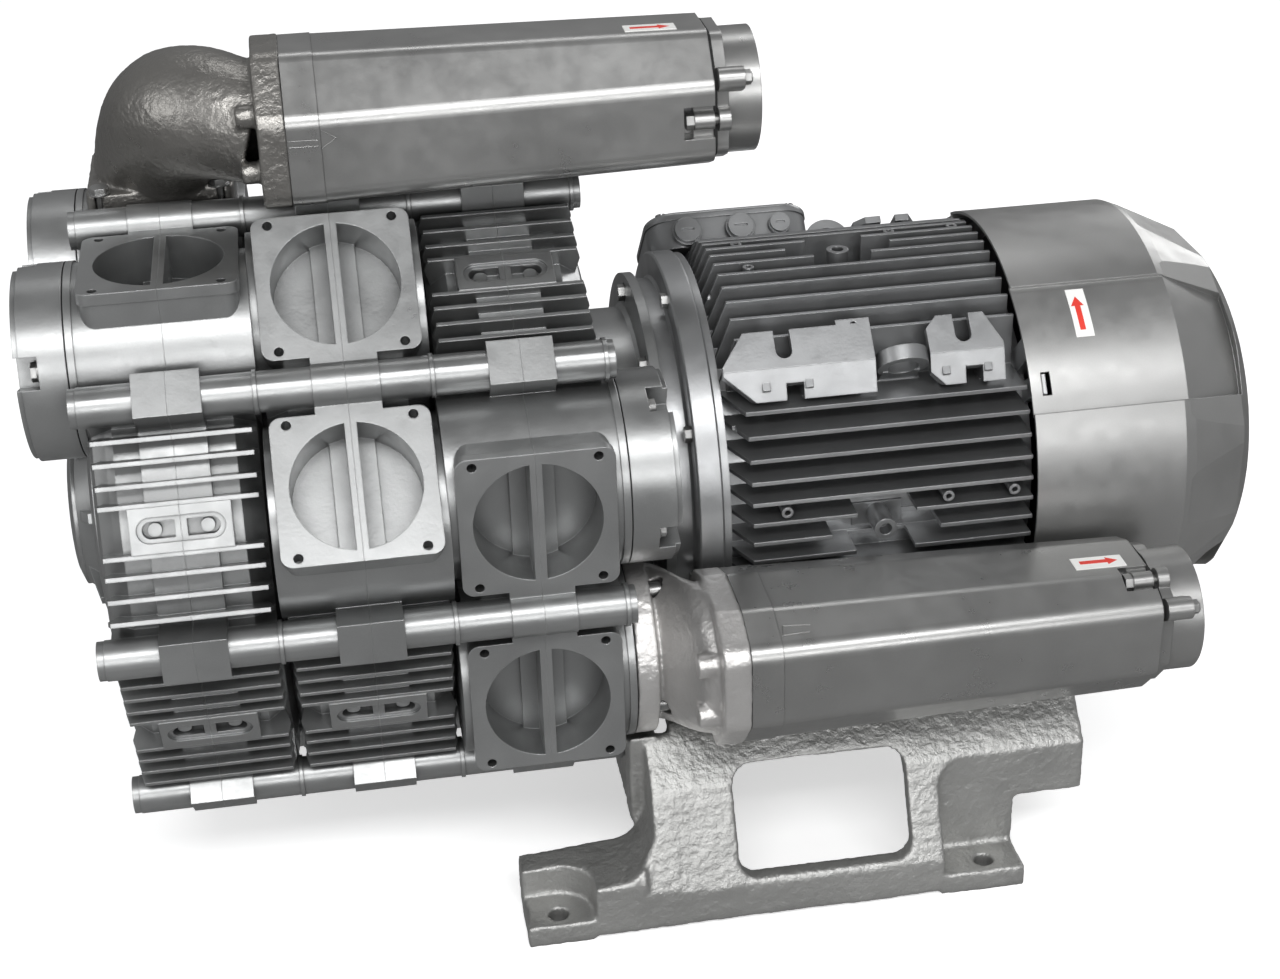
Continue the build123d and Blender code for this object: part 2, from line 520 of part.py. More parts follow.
gas_cut += [xcyl(xr - 9, xr + 9, 4.6, y - (AX_BOSS_R - 10) * cos(radians(68 + 90 * q)), z + (AX_BOSS_R - 10) * sin(radians(68 + 90 * q)))
            for (y, z) in (P3, P4) for q in range(4)]
put("port_gaskets", group([g - gas_cut for g in gaskets]))

# ---------------------------------------------------------------- end cover, seals, bearings
cover = rev_profile([(0, 37), (0, 104), (-10, 104), (-13, 98), (-13, 74), (-28, 62), (-28, 45.0), (-5, 45.0), (-5, 37)], ENDS["left"])
ribs = []
for k in range(8):
    rb = Plane(origin=(ENDS["left"], 0, AXIS_H), x_dir=(1, 0, 0), z_dir=(0, -1, 0)) * make_face(
        Polyline([(-10, 58), (-27, 58), (-16, 97), (-10, 97)], close=True))
    rb = extrude(rb, 4, both=True)
    ribs.append(Pos(0, 0, AXIS_H) * Rot(45 * k + 22.5, 0, 0) * Pos(0, 0, -AXIS_H) * rb)
cover = cover + ribs
put("end_cover", main_solid(cover))
dust = rev_profile([(-28, 44), (-28, 62), (-31, 62), (-35, 52), (-37, 30), (-37, 0), (-34.5, 0), (-34.5, 29), (-32.5, 42)], ENDS["left"])
put("end_bearing_cap", main_solid(dust))

seal = []
for x in (ENDS["left"] + 24, STAGE_X[0] + HALF, STAGE_X[1] + HALF, ENDS["right"] - 24):
    seal.append(xring(x - 8, x + 8, SEAL_R, 30.4))
put("shaft_seal_rings", group(seal))

spacers = []
for a, b in ((ENDS["left"] - 5, STAGE_X[0] - 9), (STAGE_X[0] + 9, STAGE_X[1] - 9), (STAGE_X[1] + 9, STAGE_X[2] - 9), (STAGE_X[2] + 9, -60)):
    spacers.append(xring(a, b, 30.0, SHAFT_R))
nut = xcyl(ENDS["left"] - 27.5, ENDS["left"] - 26, 27) + xhex(ENDS["left"] - 32, ENDS["left"] - 27, 46, 0, AXIS_H) - xcyl(ENDS["left"] - 60, ENDS["left"] - 20, 20.0)
spacers.append(nut)
put("shaft_spacers_and_nut", group(spacers))

# ---------------------------------------------------------------- shaft
DE_X, NDE_X, FAN_X = -37.0, 236.0, 268.0
shaft = xcyl(ENDS["left"] - 33, ENDS["left"] - 5, 20.0)
for a, b, r in ((ENDS["left"] - 5, -60, SHAFT_R), (-60, -26.5, 27.5), (-26.5, 227, 33.0), (227, 250, 25.0), (250, 304, 19.0)):
    shaft += xcyl(a, b, r)
put("shaft", main_solid(shaft))

# ---------------------------------------------------------------- impellers
hub = rev_local([(SHAFT_R, -9), (52, -9), (58, -7), (153, -7), (153, -18.2), (IMP_R, -18.2), (IMP_R, 18.2), (153, 18.2),
                 (153, 7), (58, 7), (52, 9), (SHAFT_R, 9)])
groove = rev_local([(160, 3), (192, 3), (192, 19), (160, 19)]) + rev_local([(160, -3), (192, -3), (192, -19), (160, -19)])
imp = hub - groove
vanes = []
NV = 40
for k in range(NV):
    vanes.append(Rot(0, 0, 360 / NV * k) * Pos(176, 0, 10.4) * Box(33, 3.0, 15.4))
    vanes.append(Rot(0, 0, 360 / NV * k) * Pos(176, 0, -10.4) * Box(33, 3.0, 15.4))
imp = imp + vanes
imp = main_solid(imp)
for i, x in enumerate(STAGE_X):
    put("impeller_%d" % (i + 1), ax(x, 7.0 * i) * imp)

# ---------------------------------------------------------------- bearings


def bearing(x0, x1, r_in, r_out, nb):
    rm = (r_in + r_out) / 2
    br = (r_out - r_in) * 0.30
    xm = (x0 + x1) / 2
    gi = 0.60 * (r_out - r_in) / 2
    inner_ = xring(x0, x1, rm - br * 0.55, r_in)
    outer_ = xring(x0, x1, r_out, rm + br * 0.55)
    race = Pos(xm, 0, AXIS_H) * Rot(0, 90, 0) * Torus(rm, br + 0.08)
    inner_ -= race
    outer_ -= race
    balls = xring(xm - 1.2, xm + 1.2, rm + br * 0.40, rm - br * 0.40)
    for k in range(nb):
        y, z = polar(rm, 360 / nb * k)
        balls += Pos(xm, y, z) * Sphere(br)
    return main_solid(inner_), main_solid(outer_), main_solid(balls)


b1 = bearing(ENDS["left"] - 26, ENDS["left"] - 5, 20.0, 45.0, 9)
b2 = bearing(DE_X - 10.5, DE_X + 10.5, 27.5, 50.0, 10)
b3 = bearing(NDE_X - 9, NDE_X + 9, 25.0, 45.0, 10)
put("bearing_inner_rings", group([b1[0], b2[0], b3[0]]))
put("bearing_outer_rings", group([b1[1], b2[1], b3[1]]))
put("bearing_balls_and_cages", group([b1[2], b2[2], b3[2]]))

# ---------------------------------------------------------------- lantern flange and motor
def at_ang(shape, ang):
    """Turn a shape modelled at the top (angle 90) to another angle round the axis."""
    return Pos(0, 0, AXIS_H) * Rot(90 - ang, 0, 0) * Pos(0, 0, -AXIS_H) * shape


XR = ENDS["right"]
FLX = -55.0
lantern = rev_profile([(0, 37), (0, 125), (40, 125), (43, 128), (45, 153), (53, 153), (53, 104), (44, 98), (14, 92), (14, 37)], XR)
lantern = lantern - [xcyl(XR - 1, FLX - 10.0, AX_BOSS_R + 3.5, *P3), xcyl(XR - 1, FLX - 10.0, AX_BOSS_R + 3.5, *P4)]
de = rev_profile([(0, 50), (0, 147), (14, 147), (16, 149), (16, 167), (17.5, 168.5), (34.5, 168.5), (36, 167), (36, 128),
                  (44, 128), (44, 118), (30, 112), (26, 72), (30, 62), (30, 50)], FLX)
fbolts, dcuts, lcuts, hcuts = [], [], [], []
for k in range(8):
    y, z = polar(139.0, 45 * k + 12)
    if min(sqrt((y - c[0]) ** 2 + (z - c[1]) ** 2) for c in (P3, P4)) < 88:
        continue
    lcuts.append(xcyl(FLX - 12, FLX + 1, 4.6, y, z))
    lcuts.append(xcyl(FLX - 24, FLX - 8.0, 8.6, y, z))
    dcuts.append(xcyl(FLX - 1, FLX + 13, 4.1, y, z))
    fbolts.append(xhex(FLX - 14.5, FLX - 8.0, 12, y, z) + xcyl(FLX - 9, FLX + 12, 4.0, y, z))
for k in range(8):
    y, z = polar(158.5, 22.5 + 9 + 45 * k)
    if abs((22.5 + 9 + 45 * k) - 135) < 24:
        continue
    dcuts.append(xcyl(FLX + 14, FLX + 37, 4.6, y, z))
    hcuts.append(xcyl(FLX + 35, FLX + 52, 4.1, y, z))
    fbolts.append(xhex(FLX + 10.5, FLX + 16, 11, y, z) + xcyl(FLX + 15, FLX + 41, 4.0, y, z))
put("lantern_flange", main_solid(lantern - lcuts))
dcuts.append(at_ang(box_at(-36, 10, -63, 57, AXIS_H + 160.6, AXIS_H + 215), 135))
put("drive_end_shield", main_solid(de - dcuts))
put("flange_bolts", group(fbolts))

MX0, MX1 = FLX + 36.0, 231.0
hous = xring(MX0, MX1, MOTOR_CORE_R, 128.0) + xring(MX0, MX0 + 6, 166, 138)
fins = []
tip_x0, root_x0 = MX0 + 22, MX0 + 5
for base_ang in (0, 90, 180, 270):
    for j in range(-6, 7):
        t = j * FIN_PITCH
        lim = sqrt(MOTOR_FIN_R ** 2 - t * t)
        r0 = sqrt(138.0 ** 2 - t * t) - 2
        prof = make_face(Polyline([(root_x0, r0), (tip_x0, lim), (MX1 - 2, lim), (MX1 - 2, r0)], close=True))
        f = Plane(origin=(0, 0, AXIS_H), x_dir=(1, 0, 0), z_dir=(0, -1, 0)) * Pos(0, 0) * prof
        f = extrude(f, 1.7, both=True)
        f = Pos(0, t, 0) * f
        fins.append(Pos(0, 0, AXIS_H) * Rot(base_ang, 0, 0) * Pos(0, 0, -AXIS_H) * f)


bosses = []
for ang in (0, 90, 180):
    bs = Pos(110, 0, AXIS_H + 130) * Cylinder(9.0, 40, align=(Align.CENTER, Align.CENTER, Align.MIN))
    bs += Pos(110, 0, AXIS_H + 138) * Box(40, 20, 8)
    bs -= Pos(110, 0, AXIS_H + 158) * Cylinder(5.0, 40, align=(Align.CENTER, Align.CENTER, Align.MIN))
    bosses.append(at_ang(bs, ang))
    for bx, by in ((30, 24.7), (160, 24.7), (214, 24.7), (30, -24.7)):
        sb = Pos(bx, by, AXIS_H + 130) * Cylinder(4.6, 42, align=(Align.CENTER, Align.CENTER, Align.MIN))
        sb -= Pos(bx, by, AXIS_H + 162) * Cylinder(2.3, 40, align=(Align.CENTER, Align.CENTER, Align.MIN))
        bosses.append(at_ang(sb, ang))
hous = hous + fins
for ang in (0, 90, 180):
    gap = [box_at(86, 134, -19, 19, AXIS_H + 141.5, AXIS_H + 190), box_at(66, 154, -5, 5, AXIS_H + 141.5, AXIS_H + 190)]
    gap += [box_at(bx - 8, bx + 8, by - 5.6, by + 5.6, AXIS_H + 141.5, AXIS_H + 190) for bx, by in ((30, 24.7), (160, 24.7), (214, 24.7), (30, -24.7))]
    hous = hous - [at_ang(g, ang) for g in gap]
hous = hous - [at_ang(box_at(-36, 111, -63, 57, AXIS_H + 160, AXIS_H + 215), 135)]
hous = hous + bosses

# slotted foot rails at 45 degrees (upper corners), plain pads at the lower corners
rails, lift = [], []
for ang in (45, 135):
    sgn = 1 if ang == 45 else -1
    for x0, x1, sx in ((-12, 109, 38), (153, 213, 182)):
        up = box_at(x0, x1, 0, 31, AXIS_H + 178, AXIS_H + 184)
        up -= Pos(sx, 31, AXIS_H + 181) * Box(13, 34, 20)
        up -= Pos(sx, 14, AXIS_H + 181) * Cylinder(6.5, 20)
        lo = make_face(Polyline([(0.5, AXIS_H + 184), (-23, AXIS_H + 172), (-20.5, AXIS_H + 166.6), (0.5, AXIS_H + 177)], close=True))
        lo = extrude(Plane(origin=(x0, 0, 0), x_dir=(0, 1, 0), z_dir=(1, 0, 0)) * lo, x1 - x0)
        lo -= Pos(sx + 6, -22, AXIS_H + 172) * Box(14, 22, 30)
        # slanted outer ends and rounded inner corners
        if x0 < 100:
            up -= Plane(origin=(0, 0, AXIS_H + 170)) * extrude(make_face(Polyline([(x0 - 1, 3), (x0 + 20, 32), (x0 - 1, 32)], close=True)), 30)
            lo -= Plane(origin=(0, 0, AXIS_H + 160)) * extrude(make_face(Polyline([(x0 - 1, -2), (x0 + 26, -24), (x0 - 1, -24)], close=True)), 40)
            up += box_at(x1 - 27, x1, 25, 35, AXIS_H + 176, AXIS_H + 184) - Pos(x1 - 13, 30, AXIS_H + 180) * Cylinder(2.6, 20)
        else:
            up -= Plane(origin=(0, 0, AXIS_H + 170)) * extrude(make_face(Polyline([(x1 + 1, 3), (x1 - 13, 32), (x1 + 1, 32)], close=True)), 30)
            up -= Plane(origin=(0, 0, AXIS_H + 170)) * extrude(make_face(Polyline([(x0 - 1, 20), (x0 + 10, 32), (x0 - 1, 32)], close=True)), 30)
            lo -= Plane(origin=(0, 0, AXIS_H + 160)) * extrude(make_face(Polyline([(x0 - 1, -12), (x0 + 13, -24), (x0 - 1, -24)], close=True)), 40)
        web = box_at(x0 + 8, x1 - 6, -1.5, 4.5, AXIS_H + 132, AXIS_H + 179)
        web2 = box_at(sx + 14, sx + 20, -16, 26, AXIS_H + 132, AXIS_H + 179)
        web3 = box_at(sx - 20, sx - 14, -16, 26, AXIS_H + 132, AXIS_H + 179)
        blk = (up + lo + web + web2 + web3)
        if sgn < 0:
            if x0 < 100:
                continue
            blk = mirror(blk, Plane.XZ)
        rails.append(at_ang(blk, ang))
    foot_ = box_at(114, 150, -11, 11, AXIS_H + 130, AXIS_H + 150)
    rails.append(at_ang(foot_, ang))
    eye = Pos(132, 0, AXIS_H + 175) * Rot(90, 0, 0) * Cylinder(20.5, 12)
    eye += box_at(117, 147, -6.5, 6.5, AXIS_H + 150, AXIS_H + 168)
    eye -= Pos(132, 0, AXIS_H + 175) * Rot(90, 0, 0) * Cylinder(12.5, 30)
    lift.append(main_solid(at_ang(eye, ang)))
SEAT_D = 185.0
FOOT_X = (38.0, 182.0)
for ang in (-45, 225):
    for fx in FOOT_X:
        pad = box_at(fx - 32, fx + 32, -26, 26, AXIS_H + SEAT_D - 9, AXIS_H + SEAT_D)
        pad += box_at(fx - 24, fx + 24, -20, 20, AXIS_H + 132, AXIS_H + SEAT_D - 6)
        pad -= Pos(fx, 0, AXIS_H + SEAT_D - 12) * Cylinder(5.2, 40)
        rails.append(at_ang(pad, ang))
hous = hous + rails
# terminal box seat
tb_seat = box_at(0, 82, -34, 34, AXIS_H + 130, AXIS_H + 161)
hous = hous + at_ang(tb_seat, 135)
hous = hous - xcyl(MX0 - 2, MX1 + 2, 128.0) - hcuts
# cable passage into the terminal box
hous = hous - at_ang(Pos(40, 0, AXIS_H + 145) * Cylinder(16, 60), 135)
put("motor_housing", main_solid(hous))
put("lifting_lugs", group(lift))
# ---------------------------------------------------------------- fan end of the motor
nde = rev_profile([(0, 140), (8, 140), (10, 134), (10, 60), (15, 56), (15, 45), (-5, 45), (-5, 56), (0, 62), (0, 116),
                   (-7, 116), (-7, 128), (0, 128)], MX1)
LUG_ANG = (44.8, 134.8, 224.8, 314.8)
lug_add, lug_cut, screws = [], [], []
for a in LUG_ANG:
    lug_add.append(at_ang(box_at(MX1, MX1 + 15, -9, 9, AXIS_H + 132, AXIS_H + 174.3), a))
    lug_cut.append(at_ang(Pos(MX1 + 8, 0, AXIS_H + 169) * Cylinder(2.6, 16), a))
for k in range(4):
    # spring hook that snaps into the slot of the cowl
    lug_add.append(at_ang(box_at(MX1 + 4, MX1 + 11, -8, 8, AXIS_H + 132, AXIS_H + 174.2), 35.0 + 90 * k))
    lug_add.append(at_ang(box_at(MX1 + 10, MX1 + 13, -8, 8, AXIS_H + 168, AXIS_H + 176.2), 35.0 + 90 * k))
put("fan_end_shield", main_solid(nde + lug_add - lug_cut))

stator = xring(20, 190, 128, 88.0)
slots = []
for k in range(36):
    slots.append(Pos(0, 0, AXIS_H) * Rot(10 * k, 0, 0) * Pos(105, 0, 97) * Box(172, 6, 20))
stator = stator - [s_ - xcyl(0, 300, 87.0) for s_ in ()] - slots
put("stator_core", main_solid(stator))
wind = []
for a, b in ((0, 20), (190, 210)):
    w = rev_profile([(0, 90), (0, 120), (4, 124), (16, 124), (20, 120), (20, 90)], a)
    wind.append(w)
put("stator_windings", group(wind))

rotor = xring(20, 190, 87.2, 33.0) + xring(12, 20, 84, 62) + xring(190, 198, 84, 62)
rv = []
for k in range(12):
    rv.append(Pos(0, 0, AXIS_H) * Rot(30 * k, 0, 0) * Pos(16, 0, 73) * Box(24, 3, 26))
    rv.append(Pos(0, 0, AXIS_H) * Rot(30 * k, 0, 0) * Pos(194, 0, 73) * Box(24, 3, 26))
put("rotor_core", main_solid(rotor + rv))

fan = rev_profile([(0, 19), (0, 40), (4, 42), (4, 160), (8, 160), (8, 48), (34, 36), (34, 19)], 262)
blades = []
for k in range(9):
    blades.append(Pos(0, 0, AXIS_H) * Rot(40 * k, 0, 0) * box_at(268, 312, -2, 2, 34, 158))
put("cooling_fan", main_solid(fan + blades))

# ---------------------------------------------------------------- fan cowl
CX1, CX2, CX3 = 358.0, 415.0, 427.0
COWL_T = 2.4
outer_c = rev_profile([(0, 0), (0, COWL_R), (CX1 - MX1 - 4, COWL_R), (CX1 - MX1 + 6, COWL_R - 4), (CX2 - MX1, 151),
                       (CX3 - MX1 - 3, 138), (CX3 - MX1, 133), (CX3 - MX1, 0)], MX1)
inner_c = rev_profile([(-1, 0), (-1, COWL_R - COWL_T), (CX1 - MX1 - 5, COWL_R - COWL_T), (CX1 - MX1 + 5, COWL_R - 4 - COWL_T),
                       (CX2 - MX1 - 1, 151 - COWL_T), (CX3 - MX1 - 5, 136), (CX3 - MX1 - 2.6, 132), (CX3 - MX1 - 2.6, 0)], MX1)
# the taper is folded from flat facets
facet = []
for k in range(12):
    pf = make_face(Polyline([(CX1 + 2, 176.5), (CX2, 147.5), (CX3 + 3, 131), (CX3 + 3, 260), (CX1 + 2, 260)], close=True))
    pf = Plane(origin=(0, 0, AXIS_H), x_dir=(1, 0, 0), z_dir=(0, -1, 0)) * pf
    pf = extrude(pf, 130, both=True)
    facet.append(Pos(0, 0, AXIS_H) * Rot(30 * k, 0, 0) * Pos(0, 0, -AXIS_H) * pf)
outer_f = outer_c - facet
inner_f = inner_c - [Pos(0, 0, 0) * Pos(0, 0, AXIS_H) * Rot(30 * k, 0, 0) * Pos(0, 0, -AXIS_H - COWL_T) * (
    Pos(0, 0, 0) * extrude(Plane(origin=(0, 0, AXIS_H), x_dir=(1, 0, 0), z_dir=(0, -1, 0)) * make_face(Polyline(
        [(CX1 + 2, 176.5), (CX2, 147.5), (CX3 + 3, 131), (CX3 + 3, 260), (CX1 + 2, 260)], close=True)), 130, both=True)) for k in range(12)]
PANEL_R = 177.0
PANEL_ANG = (62.3, 152.3, 242.3, 332.3)


def sector(pts, a0, span):
    """Sector of a solid of revolution from angle a0 downwards; pts are (x, radius)."""
    f = make_face(Polyline([(x, 0, AXIS_H + r) for x, r in pts], close=True))
    return at_ang(revolve(f, Axis((0, 0, AXIS_H), (1, 0, 0)), span), a0)


rec_o, rec_i = [], []
for a in PANEL_ANG:
    rec_o.append(sector([(MX1 - 5, PANEL_R), (CX1 + 0.5, PANEL_R), (402, 149), (417, 139), (417, 240), (MX1 - 5, 240)], a, 34.9))
    rec_i.append(sector([(MX1 - 6, PANEL_R - COWL_T), (CX1 - 0.6, PANEL_R - COWL_T), (401, 149 - COWL_T), (417 + COWL_T, 137.0), (417 + COWL_T, 240), (MX1 - 6, 240)], a + 0.8, 36.5))
cowl = (outer_f - rec_o) - (inner_f - rec_i)
# grille in the end face
rings_c = []
for r in range(34, 132, 13):
    rings_c.append(xring(CX3 - 6, CX3 + 2, r + 8.5, r))
rings_c = Part() + rings_c
spokes = []
for k in range(8):
    spokes.append(Pos(CX3, 0, AXIS_H) * Rot(22.5 * k, 0, 0) * Box(20, 5, 300))
grille = rings_c - spokes
slot_cut = [at_ang(Pos(MX1 + 13, 0, AXIS_H + PANEL_R) * Box(7.4, 18.6, 20), 35.0 + 90 * k) for k in range(4)]
slot_cut += [at_ang(Pos(MX1 + 8, 0, AXIS_H + PANEL_R) * Cylinder(3.0, 12), a) for a in LUG_ANG[1:]]
cowl = cowl - grille - slot_cut
put("fan_cowl", main_solid(cowl))
for a in LUG_ANG[1:]:
    s_ = Pos(MX1 + 8, 0, AXIS_H + PANEL_R + 0.1) * Cylinder(5.5, 3.0, align=(Align.CENTER, Align.CENTER, Align.MIN))
    s_ += Pos(MX1 + 8, 0, AXIS_H + PANEL_R - 14) * Cylinder(2.5, 15, align=(Align.CENTER, Align.CENTER, Align.MIN))
    s_ -= Pos(MX1 + 8, 0, AXIS_H + PANEL_R + 3.0) * Box(12, 1.4, 3)
    screws.append(at_ang(s_, a))
put("cowl_screws", group(screws))

# ---------------------------------------------------------------- terminal box
TX0, TX1 = -32.0, 108.0
tb = Pos((TX0 + TX1) / 2, 0, AXIS_H + 161) * extrude(RectangleRounded(TX1 - TX0, 106, 25), 26)
tb -= Pos((TX0 + TX1) / 2, 0, AXIS_H + 165) * extrude(RectangleRounded(TX1 - TX0 - 9, 97, 20), 30)
tb -= Pos(40, 0, AXIS_H + 160) * Cylinder(16, 20)
kn = []
KX = (0, 46, 80)
for kx, kr in zip(KX, (12.8, 12.8, 9.5)):
    kn.append(Pos(kx, -52, AXIS_H + 174) * Rot(90, 0, 0) * Cylinder(kr, 6, align=(Align.CENTER, Align.CENTER, Align.MIN)))
tb = tb + kn
khole = [Pos(kx, -56, AXIS_H + 174) * Rot(90, 0, 0) * Cylinder(kr, 24) for kx, kr in zip(KX, (8.5, 8.5, 6.0))]
tb = tb - khole
corner = []
for sx in (TX0 + 14.5, TX1 - 14.5):
    for sy in (-38.5, 38.5):
        corner.append(Pos(sx, sy, AXIS_H + 163) * Cylinder(6.5, 24, align=(Align.CENTER, Align.CENTER, Align.MIN)))
tb = tb + corner
tb -= [Pos(sx, sy, AXIS_H + 180) * Cylinder(2.6, 20) for sx in (TX0 + 14.5, TX1 - 14.5) for sy in (-38.5, 38.5)]
put("terminal_box", main_solid(at_ang(tb, 135)))
lid = Pos((TX0 + TX1) / 2, 0, AXIS_H + 187) * extrude(RectangleRounded(TX1 - TX0 + 2, 108, 26), 8)
lid = fillet(lid.faces().sort_by(Axis.Z)[-1].edges(), 4.5)
lid -= [Pos(sx, sy, AXIS_H + 190) * Cylinder(2.8, 20) for sx in (TX0 + 14.5, TX1 - 14.5) for sy in (-38.5, 38.5)]
put("terminal_box_lid", main_solid(at_ang(lid, 135)))
tscr = []
for sx in (TX0 + 14.5, TX1 - 14.5):
    for sy in (-38.5, 38.5):
        s_ = Pos(sx, sy, AXIS_H + 195) * Cylinder(5.2, 3.0, align=(Align.CENTER, Align.CENTER, Align.MIN))
        s_ += Pos(sx, sy, AXIS_H + 173) * Cylinder(2.5, 23, align=(Align.CENTER, Align.CENTER, Align.MIN))
        s_ -= Pos(sx, sy, AXIS_H + 198) * Box(1.4, 11, 3)
        tscr.append(at_ang(s_, 135))
put("terminal_box_screws", group(tscr))
blk = box_at(22, 82, -24, 24, AXIS_H + 165, AXIS_H + 177) - Pos(40, 0, AXIS_H + 170) * Cylinder(15.9, 30)
for i in range(3):
    for j in (-18, 18):
        blk += Pos(66 + 0 * i, j, AXIS_H + 177) * Cylinder(3, 6, align=(Align.CENTER, Align.CENTER, Align.MIN))
put("terminal_block", main_solid(at_ang(blk, 135)))
plugs = []
for kx, kr in zip(KX, (8.5, 8.5, 6.0)):
    p_ = Pos(kx, -58, AXIS_H + 174) * Rot(90, 0, 0) * Cylinder(kr + 2.6, 3.5, align=(Align.CENTER, Align.CENTER, Align.MIN))
    p_ += Pos(kx, -44, AXIS_H + 174) * Rot(90, 0, 0) * Cylinder(kr, 15, align=(Align.CENTER, Align.CENTER, Align.MIN))
    p_ -= Pos(kx, -62, AXIS_H + 174) * Box(1.3 * kr, 4, 2.0)
    plugs.append(at_ang(p_, 135))
put("blanking_plugs", group(plugs))

# ---------------------------------------------------------------- base casting


def yz_prism(pts, x0, x1):
    f = make_face(Polyline(pts, close=True))
    f = Plane(origin=(x0, 0, 0), x_dir=(0, 1, 0), z_dir=(1, 0, 0)) * f
    return extrude(f, x1 - x0, dir=(1, 0, 0))


def both_sides(pts):
    return pts + [(-y, z) for y, z in reversed(pts)]


BX0, BX1 = -95.0, 262.0
arch_o = both_sides([(-BASE_HALF_W, 0), (-BASE_HALF_W, 34), (-241, 108), (-213, 136), (-185, 158), (-152, 175.37), (-98, 121.37), (-74, 97)])
arch_i = both_sides([(-BASE_HALF_W + 13, -5), (-BASE_HALF_W + 13, 31), (-230, 100), (-205, 124), (-180, 143), (-154, 156), (-91, 94), (-70, 83)])
arch_s = both_sides([(-228, -5), (-228, 96), (-205, 124), (-180, 143), (-154, 156), (-91, 94), (-70, 83)])
solid_o = yz_prism(arch_o, BX0, BX1)
base = solid_o - yz_prism(arch_i, BX0 + 13, 138 + 0) - yz_prism(arch_s, 137, BX1 - 13)
# right of x = 138 the side wall stands back to 241 and the rail runs on as a low foot
for s in (-1, 1):
    y0, y1 = sorted((s * 241, s * 300))
    rc = Plane(origin=(138 + 130, 0, 109 - 100), x_dir=(1, 0, 0), z_dir=(0, -1, 0)) * RectangleRounded(260, 200, 26)
    rc = extrude(rc, 320, both=True)
    base -= rc & box_at(130, BX1 + 6, y0, y1, 19, 200)
    base -= box_at(205, BX1 + 5, y0 - 5, y1 + 5, -1, 62)
# overhang at the fan end: nothing below z = 60..73
base -= yz_prism([(-300, -1), (300, -1), (300, 62), (241, 62), (150, 73), (-150, 73), (-241, 62), (-300, 62)], 205, BX1 + 5)
# deck opening seen from above, between the motor and the base
base -= box_at(10, 200, -52, 52, 60, 130)
# windows in both long sides and in the blower end
for s in (-1, 1):
    w = Plane(origin=(41.5, s * 250, 78), x_dir=(1, 0, 0), z_dir=(0, -1, 0)) * RectangleRounded(141, 78, 13)
    base -= extrude(w, 60, both=True)
# solid seats under the motor pads
for s in (-1, 1):
    for fx in FOOT_X:
        blk_ = box_at(fx - 36, fx + 36, -27, 27, AXIS_H + SEAT_D, AXIS_H + SEAT_D + 16)
        base += at_ang(blk_, -45 if s < 0 else 225)
# feet
feet = []
for s in (-1, 1):
    y0, y1 = sorted((s * BASE_HALF_W, s * 226))
    feet.append(box_at(-199, -90, y0, y1, 0, 19))
    feet.append(box_at(130, 205, y0, y1, 0, 19))
    # foot block with a quarter-round pocket for the bolt, open to the front and to the end
    ya, yb = sorted((s * BASE_HALF_W, s * 214))
    blk2 = Plane(origin=(0, yb, 0), x_dir=(1, 0, 0), z_dir=(0, -1, 0)) * make_face(
        Polyline([(-201, 0), (-201, 44), (-150, 48), (-118, 51), (-104, 60), (-92, 84), (-78, 96), (-78, 0)], close=True))
    blk2 = extrude(blk2, yb - ya, dir=(0, -1, 0))
    lim = yz_prism([(s * 279, -1), (s * 279, 34), (s * 241, 108), (s * 200, 108), (s * 200, -1)] if s > 0 else
                   [(-200, -1), (-200, 108), (-241, 108), (-279, 34), (-279, -1)], -210, 210)
    lim2 = yz_prism([(s * 279, -1), (s * 279, 46), (s * 270, 64), (s * 200, 70), (s * 200, -1)] if s > 0 else
                    [(-200, -1), (-200, 70), (-270, 64), (-279, 46), (-279, -1)], -210, -105)
    blk2 = (blk2 & box_at(-210, -105, -300, 300, -1, 200) & lim2) + (blk2 & box_at(-105, 0, -300, 300, -1, 200) & lim)
    pocket = Pos(0, 0, 19) * extrude(Pos(-146 - 60, s * (238 + 60)) * RectangleRounded(120, 120, 30), 60)
    blk2 = blk2 - pocket
    blk2 = blk2 - box_at(-186, -100, *sorted((s * 200, s * 223)), -1, 36)
    feet.append(blk2)
    # post at the end of the side wall, with a cut lower corner
    post = Plane(origin=(0, 0, 0), x_dir=(1, 0, 0), z_dir=(0, -1, 0)) * make_face(
        Polyline([(-107, 62), (-98, 48), (-84, 48), (-84, 151), (-107, 151)], close=True))
    post = extrude(post, 12, both=True)
    feet.append(Pos(0, s * 200, 0) * post)
base = base + feet
holes = [Pos(sx * BASE_BOLT_X / 2, sy * BASE_BOLT_Y / 2, 10) * Cylinder(BASE_HOLE_R, 60) for sx in (-1, 1) for sy in (-1, 1)]
holes += [Pos(sx * BASE_BOLT_X / 2, sy * BASE_BOLT_Y / 2, 18.2) * Cylinder(15, 3, align=(Align.CENTER, Align.CENTER, Align.MIN)) for sx in (-1, 1) for sy in (-1, 1)]
for ang in (-45, 225):
    for fx in FOOT_X:
        holes.append(at_ang(Pos(fx, 0, AXIS_H + 200) * Cylinder(5.4, 60), ang))
base = base - holes
for s in (-1, 1):
    base -= [xcyl(-116, -73, AX_BOSS_R + 5.5, s * 168, P4[1]), xcyl(-81, -50, 69, s * 178, P4[1] + 4)]
